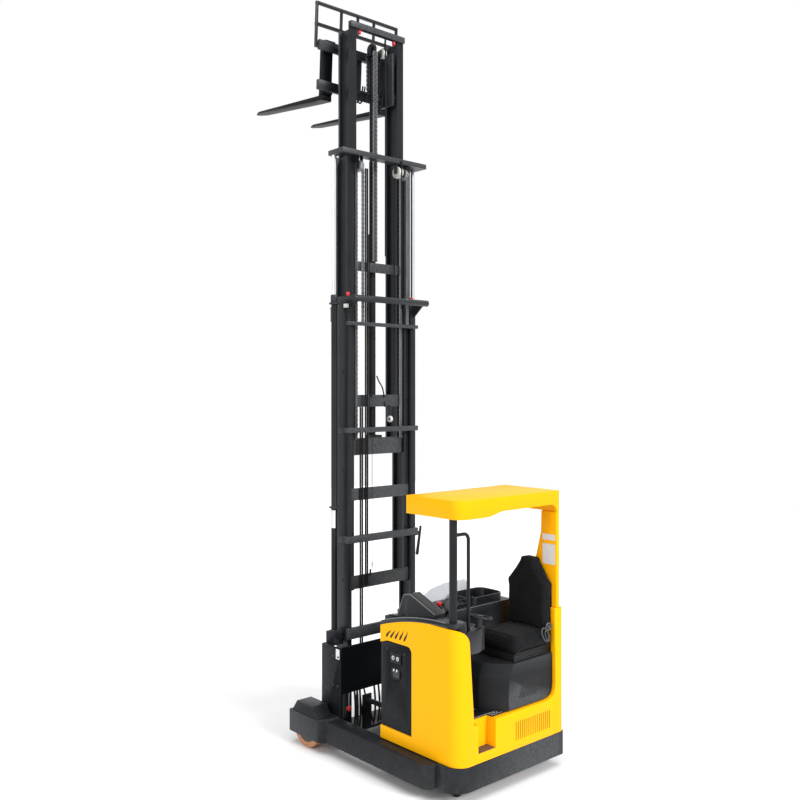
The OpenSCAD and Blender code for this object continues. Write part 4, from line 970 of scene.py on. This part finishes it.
# Hoses: fixed runs clipped to the masts
hoseSet = {"r": 0.0075, "thin": 0.0035}
runs = [tube("hose", [(1.476, y, 0.50), (1.476, y, 2.72)], hoseSet["r"], 3, False) for y in (0.226, 0.205)]
for y, dy in ((0.226, 0.02), (0.205, -0.03)):
    runs.append(tube("hose", [(1.476, y, 0.52), (1.472, y + dy * 0.4, 0.40), (1.440, y + dy, 0.26), (1.400, y + dy * 1.4, 0.16), (1.385, y + dy * 1.5, 0.125)], hoseSet["r"]))
for y in (0.02, -0.12, 0.30):
    runs.append(tube("hose", [(1.420, y, 0.46), (1.418, y + 0.01, 0.36), (1.400, y + 0.03, 0.24), (1.385, y + 0.06, 0.16), (1.383, y + 0.07, 0.125)], hoseSet["r"] * 1.1))
for k, y in enumerate((0.318, 0.345, 0.372, 0.165, 0.120)):
    runs.append(tube("hose", [(1.380, y, 0.47), (1.362, y + 0.004, 0.40), (1.356 - 0.002 * k, y + 0.006, 0.30),
                              (1.352, y + 0.010, 0.20), (1.362, y + 0.014, 0.128)], hoseSet["r"] * 1.15))
finish(merge("lowerHoses", runs), "reach", paint["hose"], 50)
runs = [tube("hose", [(1.476, y, 1.24), (1.476, y, 4.70)], hoseSet["r"], 3, False) for y in (0.170, 0.150)]
runs.append(tube("hose", [(1.476, 0.128, 2.6), (1.476, 0.128, 4.76)], hoseSet["thin"], 2, False))
runs += [tube("hose", [(1.402, -0.165, 3.55), (1.402, -0.165, 4.71), (1.412, -0.165, 4.74), (1.450, -0.165, 4.759), (1.49, -0.165, 4.73), (1.498, -0.165, 4.71), (1.498, -0.165, 2.9)], 0.0065)]
finish(merge("middleHoses", runs), "mid", paint["hose"], 50)
wireLine = [(1.470, 0.105, 3.38 - 2.01 * i / 20) for i in range(21)]
wire = finish(tube("hangingWire", wireLine, 0.0018, 2, False), "mid", paint["hose"], 50)
runs = [rod("end", (1.470, 0.105, 1.425), (1.470, 0.105, 1.385), 0.004, 12), block("plug", (1.464, 0.118, 1.315), (1.476, 0.130, 1.368), 0.002),
        tube("tail", [(1.470, 0.105, 1.39), (1.470, 0.107, 1.37), (1.470, 0.120, 1.355)], 0.0018)]
wireEnd = finish(merge("wireEnd", runs), "mid", paint["hose"], 50)
runs = [tube("hose", [(1.520, -0.085, 4.0), (1.520, -0.085, 5.73), (1.532, -0.085, 5.762), (1.560, -0.085, 5.775), (1.59, -0.085, 5.76), (1.600, -0.085, 5.73), (1.600, -0.085, 5.42)], 0.0065)]
finish(merge("upperHose", runs), "head", paint["hose"], 50)
runs = [tube("hose", [(1.560, 0.02, 2.98), (1.545, 0.035, 2.93), (1.520, 0.06, 2.88), (1.512, 0.08, 2.80)], 0.006),
        tube("hose", [(1.560, -0.02, 2.98), (1.545, -0.035, 2.93), (1.520, -0.05, 2.88), (1.512, -0.065, 2.80)], 0.006),
        ring("clip", (1.600, 0, 3.15), (0, 0, 1), 0.0325, 0.003, 40, 8), ring("clip", (1.600, 0, 3.3), (0, 0, 1), 0.0325, 0.003, 40, 8)]
finish(merge("barrelHoses", runs), "inner", paint["hose"], 50)
forkHoseSet = {"r": 0.0070, "y": (0.052, 0.075, -0.052, -0.078)}
runs = [tube("hose", [(1.628, y, 5.44), (1.640, y * 1.1, 5.36), (1.652, y * 1.6, 5.30), (1.664, y * 2.1, 5.33), (1.668, y * 2.3, 5.42)], forkHoseSet["r"])
        for y in forkHoseSet["y"]]
finish(merge("forkHoses", runs), "carriage", paint["hose"], 50)
print("hoses run")

# Red rubber stops, bolts and clamps on the mast
stops = [rod("stop", (1.482, s * 0.352, 3.6295), (1.482, s * 0.352, 3.662), 0.015, 20, 0.004) for s in (1, -1)]
finish(merge("outerStops", stops), "reach", paint["red"])
stops = [rod("stop", (1.535, s * 0.190, 5.862), (1.535, s * 0.190, 5.825), 0.014, 20, 0.003) for s in (1, -1)]
finish(merge("innerStops", stops), "inner", paint["red"])
studs = []
for s in (1, -1):
    for z in (1.30, 2.20, 3.01):
        studs.append(rod("bolt", (1.540, s * 0.3645, z), (1.540, s * 0.3705, z), 0.010, 6))
    for z in (0.50, 0.73):
        for x in (1.388, 1.448):
            studs.append(rod("bolt", (x, s * 0.5245, z), (x, s * 0.5305, z), 0.009, 6))
finish(merge("mastBolts", studs), "reach", paint["blackBolt"])
clamps = []
for s in (1, -1):
    clamps += [rod("band", (1.560, s * 0.433, 3.575), (1.560, s * 0.433, 3.636), 0.030, 32, 0.003),
               block("lug", (1.585, s * 0.433 - 0.006, 3.42), (1.604, s * 0.433 + 0.006, 3.54), 0.002),
               rod("bolt", (1.572, s * 0.433, 3.53), (1.606, s * 0.433, 3.53), 0.008, 6),
               block("cap", (1.535, s * 0.433 - 0.030, 0.8885), (1.585, s * 0.433 + 0.030, 0.902), 0.002)]
finish(merge("cylinderClamps", clamps), "reach", paint["mast"])
blocks = [block("pad", (1.425, s * 0.400 - 0.012, 3.53), (1.4655, s * 0.400 + 0.012, 3.56), 0.002) for s in (1,)]
finish(merge("slidePad", blocks), "reach", paint["white"])
print("mast fittings done")

# Leaning paddle on the right rail, and the red ball on its rod by the carriage
paddle = [block("arm", (1.448, -0.430, 1.600), (1.466, -0.355, 1.632), 0.002),
          outline("blade", [(-0.445, 1.672), (-0.425, 1.680), (-0.378, 1.440), (-0.392, 1.425), (-0.408, 1.432)], "x", 1.452, 1.462, 0.002)]
finish(merge("paddleBracket", paddle), "reach", paint["plate"])
finish(merge("ballRod", [rod("stem", (1.372, 0.430, 0.30), (1.372, 0.425, 0.44), 0.005, 16)]), "reach", paint["zinc"])
ball = rod("ball", (1.372, 0.430, 0.285), (1.372, 0.430, 0.325), 0.020, 28, 0.012)
finish(merge("redBall", [ball]), "reach", paint["red"])

# Blank plates where the photo has stickers
plates = [outline("plate", [(1.372, 0.712), (1.418, 0.712), (1.418, 0.793), (1.372, 0.793)], "y", 0.5248, 0.5256)]
finish(merge("carriagePlate", plates), "reach", paint["label"])
bend = [math.radians(20 + 8 * i) for i in range(19)]
curved = outline("plate", [(1.560 + r * math.cos(a), 0.433 + r * math.sin(a)) for r, turn in ((0.0256, bend), (0.0250, bend[::-1])) for a in turn], "z", 1.735, 1.880)
finish(merge("barrelPlate", [curved]), "reach", paint["label"])
plates = [block("plate", (0.012, -0.4835, 1.718), (0.132, -0.4815, 1.764), 0.0004, 1),
          block("plate", (0.012, -0.4835, 1.535), (0.132, -0.4815, 1.690), 0.0004, 1)]
finish(merge("pillarPlate", plates), "chassis", paint["label"])
print("plates done")

# Leg fittings: axle covers and bolts on both boxes
legParts = [rod("cover", (1.595, 0.7170, 0.175), (1.595, 0.7199, 0.175), 0.016, 28, 0.001),
            rod("bolt", (1.595, 0.7190, 0.175), (1.595, 0.7204, 0.175), 0.009, 6)]
legSide = merge("legFittingsLeft", legParts)
other = mirrored(legSide)
other.name = "legFittingsRight"
for o in (legSide, other):
    finish(o, "chassis", paint["blackBolt"])
print("legs done")

# Floor, backdrop and soft light
stageSet = {"floor": 30.0, "sun": 2.5, "fill": 1.0, "top": 1.9, "world": 0.44}
bpy.ops.mesh.primitive_plane_add(size=stageSet["floor"], location=(0, 0, -0.0005))
floor = bpy.context.object
floor.name = "studioFloor"
paleFloor = bpy.data.materials.new("paleFloor")
paleFloor.use_nodes = True
t = paleFloor.node_tree
shader = t.nodes["Principled BSDF"]
shader.inputs["Base Color"].default_value = (0.86, 0.86, 0.86, 1)
shader.inputs["Roughness"].default_value = 0.9
floor.data.materials.append(paleFloor)

world = bpy.data.worlds.new("studio")
bpy.context.scene.world = world
world.use_nodes = True
t = world.node_tree
seen = t.nodes["Background"]
seen.inputs["Color"].default_value = (1, 1, 1, 1)
seen.inputs["Strength"].default_value = 1.0
lit = t.nodes.new("ShaderNodeBackground")
lit.inputs["Color"].default_value = (0.97, 0.98, 1.0, 1)
lit.inputs["Strength"].default_value = stageSet["world"]
blend = t.nodes.new("ShaderNodeMixShader")
path = t.nodes.new("ShaderNodeLightPath")
clearRay = maths(t, "MAXIMUM", path.outputs["Is Camera Ray"], path.outputs["Is Transmission Ray"])
clearRay = maths(t, "MAXIMUM", clearRay, path.outputs["Is Glossy Ray"])
t.links.new(clearRay, blend.inputs[0])
t.links.new(lit.outputs[0], blend.inputs[1])
t.links.new(seen.outputs[0], blend.inputs[2])
t.links.new(blend.outputs[0], t.nodes["World Output"].inputs["Surface"])


def sun(name, towards, strength, spread):
    bpy.ops.object.light_add(type="SUN", location=(0, 0, 8))
    o = bpy.context.object
    o.name = name
    o.data.energy = strength
    o.data.angle = math.radians(spread)
    o.rotation_euler = Vector(towards).to_track_quat("-Z", "Y").to_euler()


sun("rearKey", (0.86, 0.12, -0.50), stageSet["sun"], 18)
sun("leftFill", (0.15, -0.9, -0.35), stageSet["fill"], 40)
sun("topFill", (0.10, -0.10, -1.0), stageSet["top"], 60)
bpy.context.scene.view_settings.view_transform = "Standard"
print("stage set")
